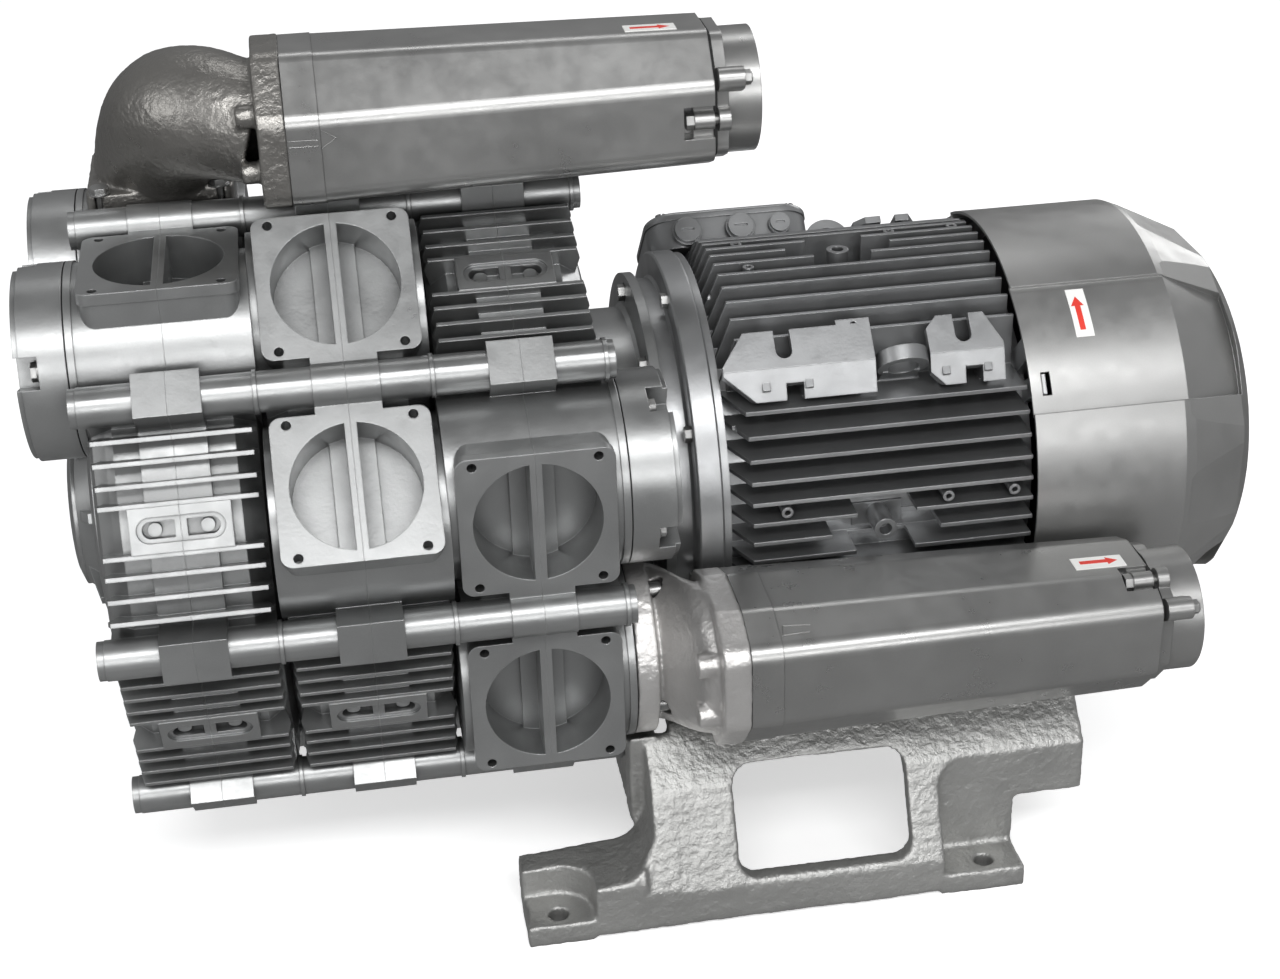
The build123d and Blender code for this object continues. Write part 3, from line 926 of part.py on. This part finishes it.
# the rim between the feet stands 2.5 mm clear of the floor
for s in (-1, 1):
    y0, y1 = sorted((s * 290, s * 222))
    base -= box_at(-148, 136, y0, y1, -1, 2.5)
base -= box_at(BX0 - 2, BX1, -222, 222, -1, 2.5)
put("base", main_solid(base))
bb = []
for ang in (-45, 225):
    for fx in FOOT_X:
        b_ = Pos(fx, 0, AXIS_H + SEAT_D - 8) * Cylinder(5.0, 26, align=(Align.CENTER, Align.CENTER, Align.MIN))
        b_ += Pos(fx, 0, AXIS_H + SEAT_D + 16) * Cylinder(10, 2, align=(Align.CENTER, Align.CENTER, Align.MIN))
        b_ += Pos(fx, 0, AXIS_H + SEAT_D + 18) * extrude(RegularPolygon(8.5, 6, major_radius=False), 7)
        bb.append(at_ang(b_, ang))
put("motor_foot_bolts", group(bb))

# ---------------------------------------------------------------- direction labels
lab1 = sector([(275, PANEL_R), (290, PANEL_R), (290, PANEL_R + 0.5), (275, PANEL_R + 0.5)], 60.4, 14.0)
tilt = degrees(atan2(5.6, SIL_LEN))
lab2 = Pos(256, OUT_Y - 5, OUT_Z + 50 + 5.6 * (291 - 256) / SIL_LEN + 0.32) * Rot(0, tilt, 0) * Box(40.4, 16.5, 0.6)
lab3 = Pos(-47, IN_Y - 12, IN_Z + 55.6 + 5.0 * (47 - 5.5) / SIL_LEN + 0.32) * Rot(0, degrees(atan2(5.0, SIL_LEN)), 0) * Box(39.5, 15, 0.6)
put("direction_labels", group([lab1, lab2, lab3]))

print(len(NODES), "nodes")
if __name__ == "__main__":
    for name, shape in NODES.items():
        export_step(shape, "parts/%s.step" % name)
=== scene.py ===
import bpy, bmesh, json, math, random
from mathutils import Matrix, Vector


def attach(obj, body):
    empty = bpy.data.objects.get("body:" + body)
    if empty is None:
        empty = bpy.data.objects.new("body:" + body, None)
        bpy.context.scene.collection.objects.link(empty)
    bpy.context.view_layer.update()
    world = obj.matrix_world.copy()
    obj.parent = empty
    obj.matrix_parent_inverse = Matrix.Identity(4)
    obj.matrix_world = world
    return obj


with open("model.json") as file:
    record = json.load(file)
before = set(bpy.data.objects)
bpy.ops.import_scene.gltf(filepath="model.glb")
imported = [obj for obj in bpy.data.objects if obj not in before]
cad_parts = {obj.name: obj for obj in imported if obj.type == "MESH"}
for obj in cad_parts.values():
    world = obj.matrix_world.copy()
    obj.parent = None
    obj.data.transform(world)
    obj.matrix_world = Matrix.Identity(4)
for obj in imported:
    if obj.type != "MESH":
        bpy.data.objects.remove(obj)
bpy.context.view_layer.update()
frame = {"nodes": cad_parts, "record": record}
N = frame["nodes"]
random.seed(7)
scn = bpy.context.scene

# ------------------------------------------------------------------ materials


def new_mat(name):
    m = bpy.data.materials.new(name)
    m.use_nodes = True
    nt = m.node_tree
    bsdf = nt.nodes["Principled BSDF"]
    return m, nt, bsdf


def add(nt, kind, **kw):
    n = nt.nodes.new(kind)
    for k, v in kw.items():
        setattr(n, k, v)
    return n


def noise(nt, coord, scale, detail=3.0, rough=0.55, dist=0.0):
    n = add(nt, "ShaderNodeTexNoise")
    n.inputs["Scale"].default_value = scale
    n.inputs["Detail"].default_value = detail
    n.inputs["Roughness"].default_value = rough
    n.inputs["Distortion"].default_value = dist
    nt.links.new(coord, n.inputs["Vector"])
    return n.outputs["Fac"]


def ramp(nt, fac, lo, hi, a=0.0, b=1.0):
    r = add(nt, "ShaderNodeMapRange")
    r.inputs["From Min"].default_value = lo
    r.inputs["From Max"].default_value = hi
    r.inputs["To Min"].default_value = a
    r.inputs["To Max"].default_value = b
    nt.links.new(fac, r.inputs["Value"])
    return r.outputs["Result"]


def math_(nt, op, a, b):
    m = add(nt, "ShaderNodeMath", operation=op)
    for i, v in enumerate((a, b)):
        if isinstance(v, (int, float)):
            m.inputs[i].default_value = v
        else:
            nt.links.new(v, m.inputs[i])
    return m.outputs[0]


def mix_col(nt, fac, a, b, kind="MIX"):
    m = add(nt, "ShaderNodeMix", data_type="RGBA", blend_type=kind)
    if isinstance(fac, (int, float)):
        m.inputs[0].default_value = fac
    else:
        nt.links.new(fac, m.inputs[0])
    for i, v in ((6, a), (7, b)):
        if isinstance(v, (tuple, list)):
            m.inputs[i].default_value = (*v[:3], 1.0)
        else:
            nt.links.new(v, m.inputs[i])
    return m.outputs[2]


def metal_paint(name, base, metallic=0.82, rough=0.36, grain=0.0, grain_scale=900.0, peel=0.12, edge=0.35,
                crevice_shade=0.35, mottled=0.06, coat=0.0, crevice_shade_dist=0.016, brush=None):
    """Silver-grey metallic finish. grain is the depth of the cast texture, peel that of the paint film. The
    ambient-occlusion darkening of crevices is painted shade, the lightening of edges a painted highlight.
    """
    m, nt, bsdf = new_mat(name)
    tc = add(nt, "ShaderNodeTexCoord").outputs["Object"]
    big = noise(nt, tc, 9.0, 3.0)
    mid = noise(nt, tc, 60.0, 4.0)
    fine = noise(nt, tc, 1400.0, 2.0)
    # colour
    dark = tuple(c * (1 - mottled * 1.6) for c in base)
    lite = tuple(min(1, c * (1 + mottled)) for c in base)
    col = mix_col(nt, ramp(nt, big, 0.35, 0.65), dark, lite)
    col = mix_col(nt, ramp(nt, fine, 0.30, 0.72, 0.0, 0.22), col, tuple(min(1, c * 1.28) for c in base))
    # painted shade: where ambient occlusion finds crevices, the colour is darkened toward 0.22 of the base, patchy with
    # noise
    if crevice_shade > 0:
        ao = add(nt, "ShaderNodeAmbientOcclusion", samples=4)
        ao.inputs["Distance"].default_value = crevice_shade_dist
        crevice_shade_mask = ramp(nt, ao.outputs["AO"], 0.35, 0.95, crevice_shade, 0.0)
        crevice_shade_mask = math_(nt, "MULTIPLY", crevice_shade_mask, ramp(nt, mid, 0.3, 0.7, 0.75, 1.1))
        col = mix_col(nt, crevice_shade_mask, col, tuple(c * 0.22 for c in base))
    bev = add(nt, "ShaderNodeBevel", samples=3)
    bev.inputs["Radius"].default_value = 0.0011
    geo = add(nt, "ShaderNodeNewGeometry")
    # painted highlight: where the bevel normal parts from the surface normal, edges are lightened toward pale silver,
    # broken up by noise
    if edge > 0:
        dp = add(nt, "ShaderNodeVectorMath", operation="DOT_PRODUCT")
        nt.links.new(bev.outputs[0], dp.inputs[0])
        nt.links.new(geo.outputs["Normal"], dp.inputs[1])
        edge_highlight_mask = ramp(nt, dp.outputs["Value"], 0.985, 0.86, 0.0, edge)
        edge_highlight_mask = math_(nt, "MULTIPLY", edge_highlight_mask, ramp(nt, mid, 0.30, 0.65, 0.65, 1.0))
        col = mix_col(nt, edge_highlight_mask, col, (0.80, 0.81, 0.82))
    nt.links.new(col, bsdf.inputs["Base Color"])
    bsdf.inputs["Metallic"].default_value = metallic
    rr = math_(nt, "ADD", ramp(nt, mid, 0.3, 0.7, rough - 0.05, rough + 0.05), ramp(nt, big, 0.3, 0.7, -0.03, 0.03))
    nt.links.new(rr, bsdf.inputs["Roughness"])
    # bump: paint film, cast grain
    h = math_(nt, "MULTIPLY", noise(nt, tc, 420.0, 3.0), peel)
    h = math_(nt, "ADD", h, math_(nt, "MULTIPLY", noise(nt, tc, 55.0, 2.0), peel * 1.5))
    dist = 0.00030
    if grain > 0:
        g = noise(nt, tc, grain_scale, 3.0, 0.6)
        v = add(nt, "ShaderNodeTexVoronoi", feature="SMOOTH_F1")
        v.inputs["Scale"].default_value = grain_scale * 0.55
        nt.links.new(tc, v.inputs["Vector"])
        gg = math_(nt, "ADD", g, math_(nt, "MULTIPLY", v.outputs["Distance"], 0.8))
        h = math_(nt, "ADD", h, math_(nt, "MULTIPLY", gg, grain))
        dist = 0.0012
    if brush:
        mp = add(nt, "ShaderNodeMapping")
        mp.inputs["Scale"].default_value = brush
        nt.links.new(tc, mp.inputs["Vector"])
        h = math_(nt, "ADD", h, math_(nt, "MULTIPLY", noise(nt, mp.outputs[0], 30.0, 4.0), 0.5))
    b = add(nt, "ShaderNodeBump")
    b.inputs["Strength"].default_value = 1.0
    b.inputs["Distance"].default_value = dist
    nt.links.new(h, b.inputs["Height"])
    nt.links.new(bev.outputs[0], b.inputs["Normal"])
    nt.links.new(b.outputs[0], bsdf.inputs["Normal"])
    if coat:
        bsdf.inputs["Coat Weight"].default_value = coat
        bsdf.inputs["Coat Roughness"].default_value = 0.25
    return m


def simple(name, col, rough, metallic=0.0, bump=0.0, scale=300.0, var=0.08, coat=0.0):
    m, nt, bsdf = new_mat(name)
    tc = add(nt, "ShaderNodeTexCoord").outputs["Object"]
    n1 = noise(nt, tc, 45.0, 3.0)
    c = mix_col(nt, ramp(nt, n1, 0.3, 0.7), tuple(x * (1 - var) for x in col), tuple(min(1, x * (1 + var)) for x in col))
    nt.links.new(c, bsdf.inputs["Base Color"])
    bsdf.inputs["Metallic"].default_value = metallic
    nt.links.new(ramp(nt, noise(nt, tc, 120.0, 3.0), 0.3, 0.7, rough - 0.06, rough + 0.06), bsdf.inputs["Roughness"])
    if bump:
        b = add(nt, "ShaderNodeBump")
        b.inputs["Distance"].default_value = bump
        nt.links.new(noise(nt, tc, scale, 3.0), b.inputs["Height"])
        nt.links.new(b.outputs[0], bsdf.inputs["Normal"])
    if coat:
        bsdf.inputs["Coat Weight"].default_value = coat
    return m


SILVER = (0.47, 0.475, 0.475)
MAT = {
    "casing_cast": metal_paint("casing_paint", (0.345, 0.35, 0.35), 0.86, 0.35, peel=0.22, crevice_shade=0.55),
    "pipe_cast": metal_paint("pipe_casting", (0.27, 0.262, 0.248), 0.86, 0.32, grain=0.26, grain_scale=300.0, peel=0.35, edge=0.15),
    "base_cast": metal_paint("base_casting", (0.40, 0.40, 0.39), 0.78, 0.43, grain=0.62, grain_scale=330.0, peel=0.3, edge=0.25),
    "silencer_skin": metal_paint("silencer_paint", (0.37, 0.37, 0.365), 0.88, 0.32, peel=0.05, crevice_shade=0.3, edge=0.10),
    "motor_cast": metal_paint("motor_paint", (0.36, 0.365, 0.37), 0.86, 0.35, peel=0.20, crevice_shade=0.45),
    "cowl_sheet": metal_paint("cowl_paint", (0.40, 0.40, 0.395), 0.86, 0.36, peel=0.06, crevice_shade=0.3, edge=0.25),
    "fastener": metal_paint("fastener_paint", (0.36, 0.36, 0.355), 0.88, 0.31, peel=0.15, crevice_shade=0.6),
    "machined_steel": metal_paint("turned_steel", (0.50, 0.50, 0.50), 0.92, 0.27, peel=0.06, crevice_shade=0.3),
    "bearing_steel": simple("bearing_steel", (0.62, 0.63, 0.65), 0.14, 1.0, 0.00002),
    "impeller_cast": metal_paint("impeller_metal", (0.62, 0.63, 0.64), 0.95, 0.30, peel=0.08, crevice_shade=0.3),
    "lamination": simple("lamination", (0.22, 0.22, 0.23), 0.45, 0.9, 0.0001, 900.0),
    "copper_wire": simple("enamelled_copper", (0.50, 0.20, 0.07), 0.35, 0.8, 0.0004, 500.0),
    "black_gasket": simple("black_gasket", (0.012, 0.012, 0.012), 0.75, 0.0, 0.0002, 600.0),
    "foam": simple("absorber_foam", (0.035, 0.035, 0.038), 0.95, 0.0, 0.0010, 700.0),
    "perforated_sheet": simple("perforated_sheet", (0.42, 0.42, 0.43), 0.35, 0.9, 0.00005, 300.0),
    "black_plastic": simple("black_plastic", (0.022, 0.022, 0.024), 0.45, 0.0, 0.00015, 900.0),
    "label_film": simple("label_film", (0.86, 0.86, 0.84), 0.38, 0.0, 0.00002, 300.0, 0.02),
}
RED = simple("red_print", (0.72, 0.045, 0.03), 0.42, 0.0, 0.00002, 300.0, 0.05)
# near-black for the inside of holes: painted shade; no object here is given it
HOLE_SHADE = simple("hole_painted_shade", (0.02, 0.02, 0.02), 0.8)

slot_of = {s["node"]: s["material_slot"] for s in frame["record"]["subparts"]}


def assign(o, m):
    o.data.materials.clear()
    o.data.materials.append(m)


def smooth_by_angle(o, deg=32):
    for p in o.data.polygons:
        p.use_smooth = True


def bevel(o, w, segs=2, ang=28):
    md = o.modifiers.new("edge", "BEVEL")
    md.width = w
    md.segments = segs
    md.limit_method = "ANGLE"
    md.angle_limit = math.radians(ang)
    md.harden_normals = False
    md.use_clamp_overlap = True
    return md


for name, o in N.items():
    assign(o, MAT[slot_of[name]])
assign(N["blanking_plugs"], MAT["motor_cast"])
# lighter copy of the pipe casting paint for the outlet neck: painted light that brightens a neck the lamps leave dark
assign(N["outlet_neck"], metal_paint("neck_casting_painted_light", (0.58, 0.57, 0.56), 0.80, 0.38, grain=0.16, grain_scale=260.0, peel=0.30, edge=0.2))


# ------------------------------------------------------------------ edges and cast surfaces
BEVEL = {}
for i in (1, 2, 3):
    BEVEL["stage_%d_left_shell" % i] = BEVEL["stage_%d_right_shell" % i] = 0.0008
for t in ("inlet", "outlet"):
    BEVEL[t + "_silencer_mid_plate"] = 0.0007
    BEVEL[t + "_silencer_shell"] = 0.0006
    BEVEL[t + "_silencer_end_cap"] = 0.0010
BEVEL.update({"port_cap_stage_1_rear": 0.0012, "port_cap_stage_1_front": 0.0012, "port_cap_stage_3": 0.0012,
              "tie_rod_nuts": 0.0004, "axial_port_bolts": 0.0004, "inlet_elbow_bolts": 0.0005, "silencer_bolts": 0.0004,
              "end_cover": 0.0008, "end_bearing_cap": 0.0008, "lantern_flange": 0.0010, "drive_end_shield": 0.0010,
              "flange_bolts": 0.0004, "motor_housing": 0.0005, "lifting_lugs": 0.0015, "fan_end_shield": 0.0006,
              "fan_cowl": 0.0005, "cowl_screws": 0.0003, "terminal_box": 0.0010, "terminal_box_lid": 0.0008,
              "terminal_box_screws": 0.0003, "blanking_plugs": 0.0005, "motor_foot_bolts": 0.0005,
              "shaft": 0.0005, "cooling_fan": 0.0005})


for name, wd in BEVEL.items():
    if name in N:
        bevel(N[name], wd, 2, 30)


def cast_surface(o, voxel, smooth_it, depth, scale, depth2=0.0, scale2=0.1):
    """Soft sand-cast skin: even mesh, rounded edges, uneven surface."""
    r = o.modifiers.new("even", "REMESH")
    r.mode = "VOXEL"
    r.voxel_size = voxel
    r.use_smooth_shade = True
    c = o.modifiers.new("round", "SMOOTH")
    c.factor = 0.5
    c.iterations = smooth_it
    for i, (dp, sc) in enumerate(((depth, scale), (depth2, scale2))):
        if dp:
            t = bpy.data.textures.new(o.name + "_skin%d" % i, "CLOUDS")
            t.noise_scale = sc
            t.noise_depth = 2
            d = o.modifiers.new("skin%d" % i, "DISPLACE")
            d.texture = t
            d.texture_coords = "LOCAL"
            d.strength = dp
            d.mid_level = 0.5


cast_surface(N["inlet_elbow"], 0.0015, 4, 0.0012, 0.035, 0.0007, 0.005)
cast_surface(N["outlet_neck"], 0.0015, 4, 0.0012, 0.035, 0.0007, 0.005)
cast_surface(N["base"], 0.0022, 4, 0.0024, 0.06, 0.0013, 0.006)


# ------------------------------------------------------------------ small pieces
def piece(name, verts, faces, material, body="housing", smooth=False):
    me = bpy.data.meshes.new(name)
    me.from_pydata([tuple(v) for v in verts], [], faces)
    me.update()
    bm = bmesh.new()
    bm.from_mesh(me)
    bmesh.ops.recalc_face_normals(bm, faces=bm.faces)
    bm.to_mesh(me)
    bm.free()
    o = bpy.data.objects.new(name, me)
    scn.collection.objects.link(o)
    o.data.materials.append(material)
    if smooth:
        for p_ in me.polygons:
            p_.use_smooth = True
    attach(o, body)
    return o


def slab(outline, place, t0, t1, cuts=1):
    """Closed prism over a 2-D outline; place(u, v, h) gives the point."""
    n = len(outline)
    v = [place(u, w_, t0) for u, w_ in outline] + [place(u, w_, t1) for u, w_ in outline]
    f = [tuple(range(n))[::-1], tuple(range(n, 2 * n))]
    f += [(i, (i + 1) % n, n + (i + 1) % n, n + i) for i in range(n)]
    return v, f


def dense(outline, step):
    out = []
    n = len(outline)
    for i in range(n):
        a, b = Vector(outline[i]), Vector(outline[(i + 1) % n])
        k = max(1, int((b - a).length / step))
        out += [tuple(a + (b - a) * j / k) for j in range(k)]
    return out


def arrow_outline(length, shaft, head_w, head_l):
    return [(0, -shaft / 2), (length - head_l, -shaft / 2), (length - head_l, -head_w / 2), (length, 0),
            (length - head_l, head_w / 2), (length - head_l, shaft / 2), (0, shaft / 2)]


AXZ = 0.285
OUT_Y, OUT_Z = -0.246, 0.232
IN_Y, IN_Z = -0.0175, 0.6043



def ridge(name, pts, up, width, height, material, closed=False):
    """Raised line along a chain of points: a low bar with sloping sides."""
    v, f = [], []
    up = Vector(up).normalized()
    chain = [Vector(p_) / 1000 for p_ in pts]
    pairs = list(zip(chain, chain[1:])) + ([(chain[-1], chain[0])] if closed else [])
    for a_, b_ in pairs:
        t = (b_ - a_).normalized()
        sd = t.cross(up).normalized()
        k = len(v)
        for q in (a_ - t * width * 0.3, b_ + t * width * 0.3):
            v += [q - sd * width / 2 - up * 0.0004, q + sd * width / 2 - up * 0.0004,
                  q + sd * width * 0.22 + up * height, q - sd * width * 0.22 + up * height]
        f += [(k, k + 1, k + 2, k + 3), (k + 7, k + 6, k + 5, k + 4)]
        f += [(k + i, k + 4 + i, k + 4 + (i + 1) % 4, k + (i + 1) % 4) for i in range(4)]
    o = piece(name, v, f, material, "housing")
    bevel(o, 0.0002, 2, 30)
    return o


def flat_place(o_, u_, n_):
    o_, u_, n_ = Vector(o_) / 1000, Vector(u_).normalized(), Vector(n_).normalized()
    v_ = n_.cross(u_)
    return lambda a_, b_, h: o_ + u_ * a_ + v_ * b_ + n_ * h


# cast marks on the two silencers
SP = MAT["silencer_skin"]
ridge("inlet_mark_bar", [(-323.8, -83.8, 612.0), (-302.6, -83.8, 611.6)], (0, -1, 0), 0.0012, 0.0006, SP)
ridge("inlet_mark_bar_low", [(-323.8, -83.8, 607.4), (-302.6, -83.8, 607.0)], (0, -1, 0), 0.0012, 0.0006, SP)
ridge("inlet_mark_point", [(-299.6, -83.0, 618.9), (-289.3, -82.7, 611.9), (-299.8, -83.0, 605.0)], (0, -1, 0), 0.0010, 0.0005, SP)
nm = (0, -14.6, 38.5)
ridge("outlet_mark", [(20.0, -290.0, 281.0), (-0.4, -288.8, 281.6), (-2.3, -297.1, 278.4), (18.6, -296.0, 278.7)], nm, 0.0011, 0.0006, SP)

# red arrows on the labels
AR = dense([(p_[0], p_[1]) for p_ in arrow_outline(0.0304, 0.0046, 0.0104, 0.0088)], 0.0012)
for nm_, org, u_, n_ in (("outlet_arrow", (241.4, -250.2, 232 + 50 + 5.6 * (291 - 241.4) / 295 + 0.60), (1, 0, -5.6 / 295), (5.6 / 295, 0, 1)),
                         ("inlet_arrow", (-62.0, -29.5, 604.3 + 55.6 + 5.0 * (62 - 5.5) / 295 + 0.60), (1, 0, -5.0 / 295), (5.0 / 295, 0, 1))):
    v_, f_ = slab(AR, flat_place(org, u_, n_), 0.0, 0.00012)
    piece(nm_, v_, f_, RED, "housing")
RL = 0.17752


def on_cowl(a_, b_, h):
    al = math.radians(48.3) + a_ / RL
    return Vector((0.2816 + b_, -(RL + h) * math.cos(al), AXZ + (RL + h) * math.sin(al)))


v_, f_ = slab(AR, on_cowl, 0.0, 0.00012)
piece("cowl_arrow", v_, f_, RED, "housing")

# ------------------------------------------------------------------ camera
cam_d = bpy.data.cameras.new("camera")
cam = bpy.data.objects.new("camera", cam_d)
scn.collection.objects.link(cam)
right = Vector((0.98603516, -0.16458323, -0.02543682))
down = Vector((-0.10055574, -0.46663162, -0.87871695))
fwd = Vector((0.13275245, 0.86900362, -0.47666497))
rot = Matrix((right, -down, -fwd)).transposed().to_4x4()
cam.matrix_world = Matrix.Translation((-0.30727138, -1.62039647, 1.13832177)) @ rot
cam_d.sensor_width = 36.0
cam_d.sensor_fit = "HORIZONTAL"
cam_d.lens = 61.24127
cam_d.clip_end = 60
scn.camera = cam

# ------------------------------------------------------------------ floor and light
me = bpy.data.meshes.new("floor")
me.from_pydata([(-14, -14, 0), (14, -14, 0), (14, 14, 0), (-14, 14, 0)], [], [(0, 1, 2, 3)])
floor = bpy.data.objects.new("floor", me)
scn.collection.objects.link(floor)
fm, fnt, fb = new_mat("floor_white")
fb.inputs["Base Color"].default_value = (0.92, 0.92, 0.92, 1)
fb.inputs["Roughness"].default_value = 0.9
fb.inputs["Specular IOR Level"].default_value = 0.05
fb.inputs["Emission Color"].default_value = (1.0, 1.0, 1.0, 1)
fb.inputs["Emission Strength"].default_value = 0.50
assign(floor, fm)
floor.visible_glossy = False

w = bpy.data.worlds.new("studio") if scn.world is None else scn.world
scn.world = w
w.use_nodes = True
wn = w.node_tree
wn.nodes.clear()
out = wn.nodes.new("ShaderNodeOutputWorld")
bg = wn.nodes.new("ShaderNodeBackground")
tc = wn.nodes.new("ShaderNodeTexCoord")
sep = wn.nodes.new("ShaderNodeSeparateXYZ")
cr = wn.nodes.new("ShaderNodeValToRGB")
els = cr.color_ramp.elements
els[0].position, els[0].color = 0.0, (0.30, 0.30, 0.30, 1)
els[1].position, els[1].color = 1.0, (0.30, 0.30, 0.30, 1)
for pos, v in ((0.42, 0.26), (0.49, 0.34), (0.58, 0.52), (0.84, 0.62), (0.95, 0.42)):
    e = els.new(pos)
    e.color = (v, v * 1.005, v * 1.015, 1)
mr = wn.nodes.new("ShaderNodeMapRange")
mr.inputs["From Min"].default_value = -1.0
mr.inputs["From Max"].default_value = 1.0
ms = wn.nodes.new("ShaderNodeMapRange")
ms.inputs["From Min"].default_value = -0.55
ms.inputs["From Max"].default_value = 0.45
ms.inputs["To Min"].default_value = 0.84
ms.inputs["To Max"].default_value = 0.47
wn.links.new(tc.outputs["Generated"], sep.inputs[0])
wn.links.new(sep.outputs[2], mr.inputs["Value"])
wn.links.new(sep.outputs[1], ms.inputs["Value"])
wn.links.new(mr.outputs["Result"], cr.inputs["Fac"])
wn.links.new(cr.outputs["Color"], bg.inputs["Color"])
wn.links.new(ms.outputs["Result"], bg.inputs["Strength"])
wn.links.new(bg.outputs[0], out.inputs[0])


def area(name, loc, target, size, power, sy=None):
    l = bpy.data.lights.new(name, "AREA")
    l.shape = "RECTANGLE"
    l.size = size
    l.size_y = sy or size
    l.energy = power
    ob = bpy.data.objects.new(name, l)
    ob.location = loc
    d = Vector(target) - Vector(loc)
    ob.rotation_euler = d.to_track_quat("-Z", "Y").to_euler()
    scn.collection.objects.link(ob)
    return ob


area("front_low", (-0.4, -4.1, 1.50), (0.0, 0.0, 0.35), 5.0, 62, 0.8)
area("front_high", (-0.2, -2.7, 3.2), (0.0, 0.0, 0.3), 3.6, 84, 0.9)
area("top_back", (0.2, 1.6, 3.2), (0.0, 0.0, 0.35), 2.0, 11, 0.6)
area("back_fill", (2.6, 2.6, 1.6), (0.0, 0.0, 0.3), 2.0, 26, 1.2)
area("left_soft", (-3.2, -0.6, 1.5), (0, 0, 0.3), 1.0, 12, 1.4)
scn.view_settings.view_transform = "Standard"
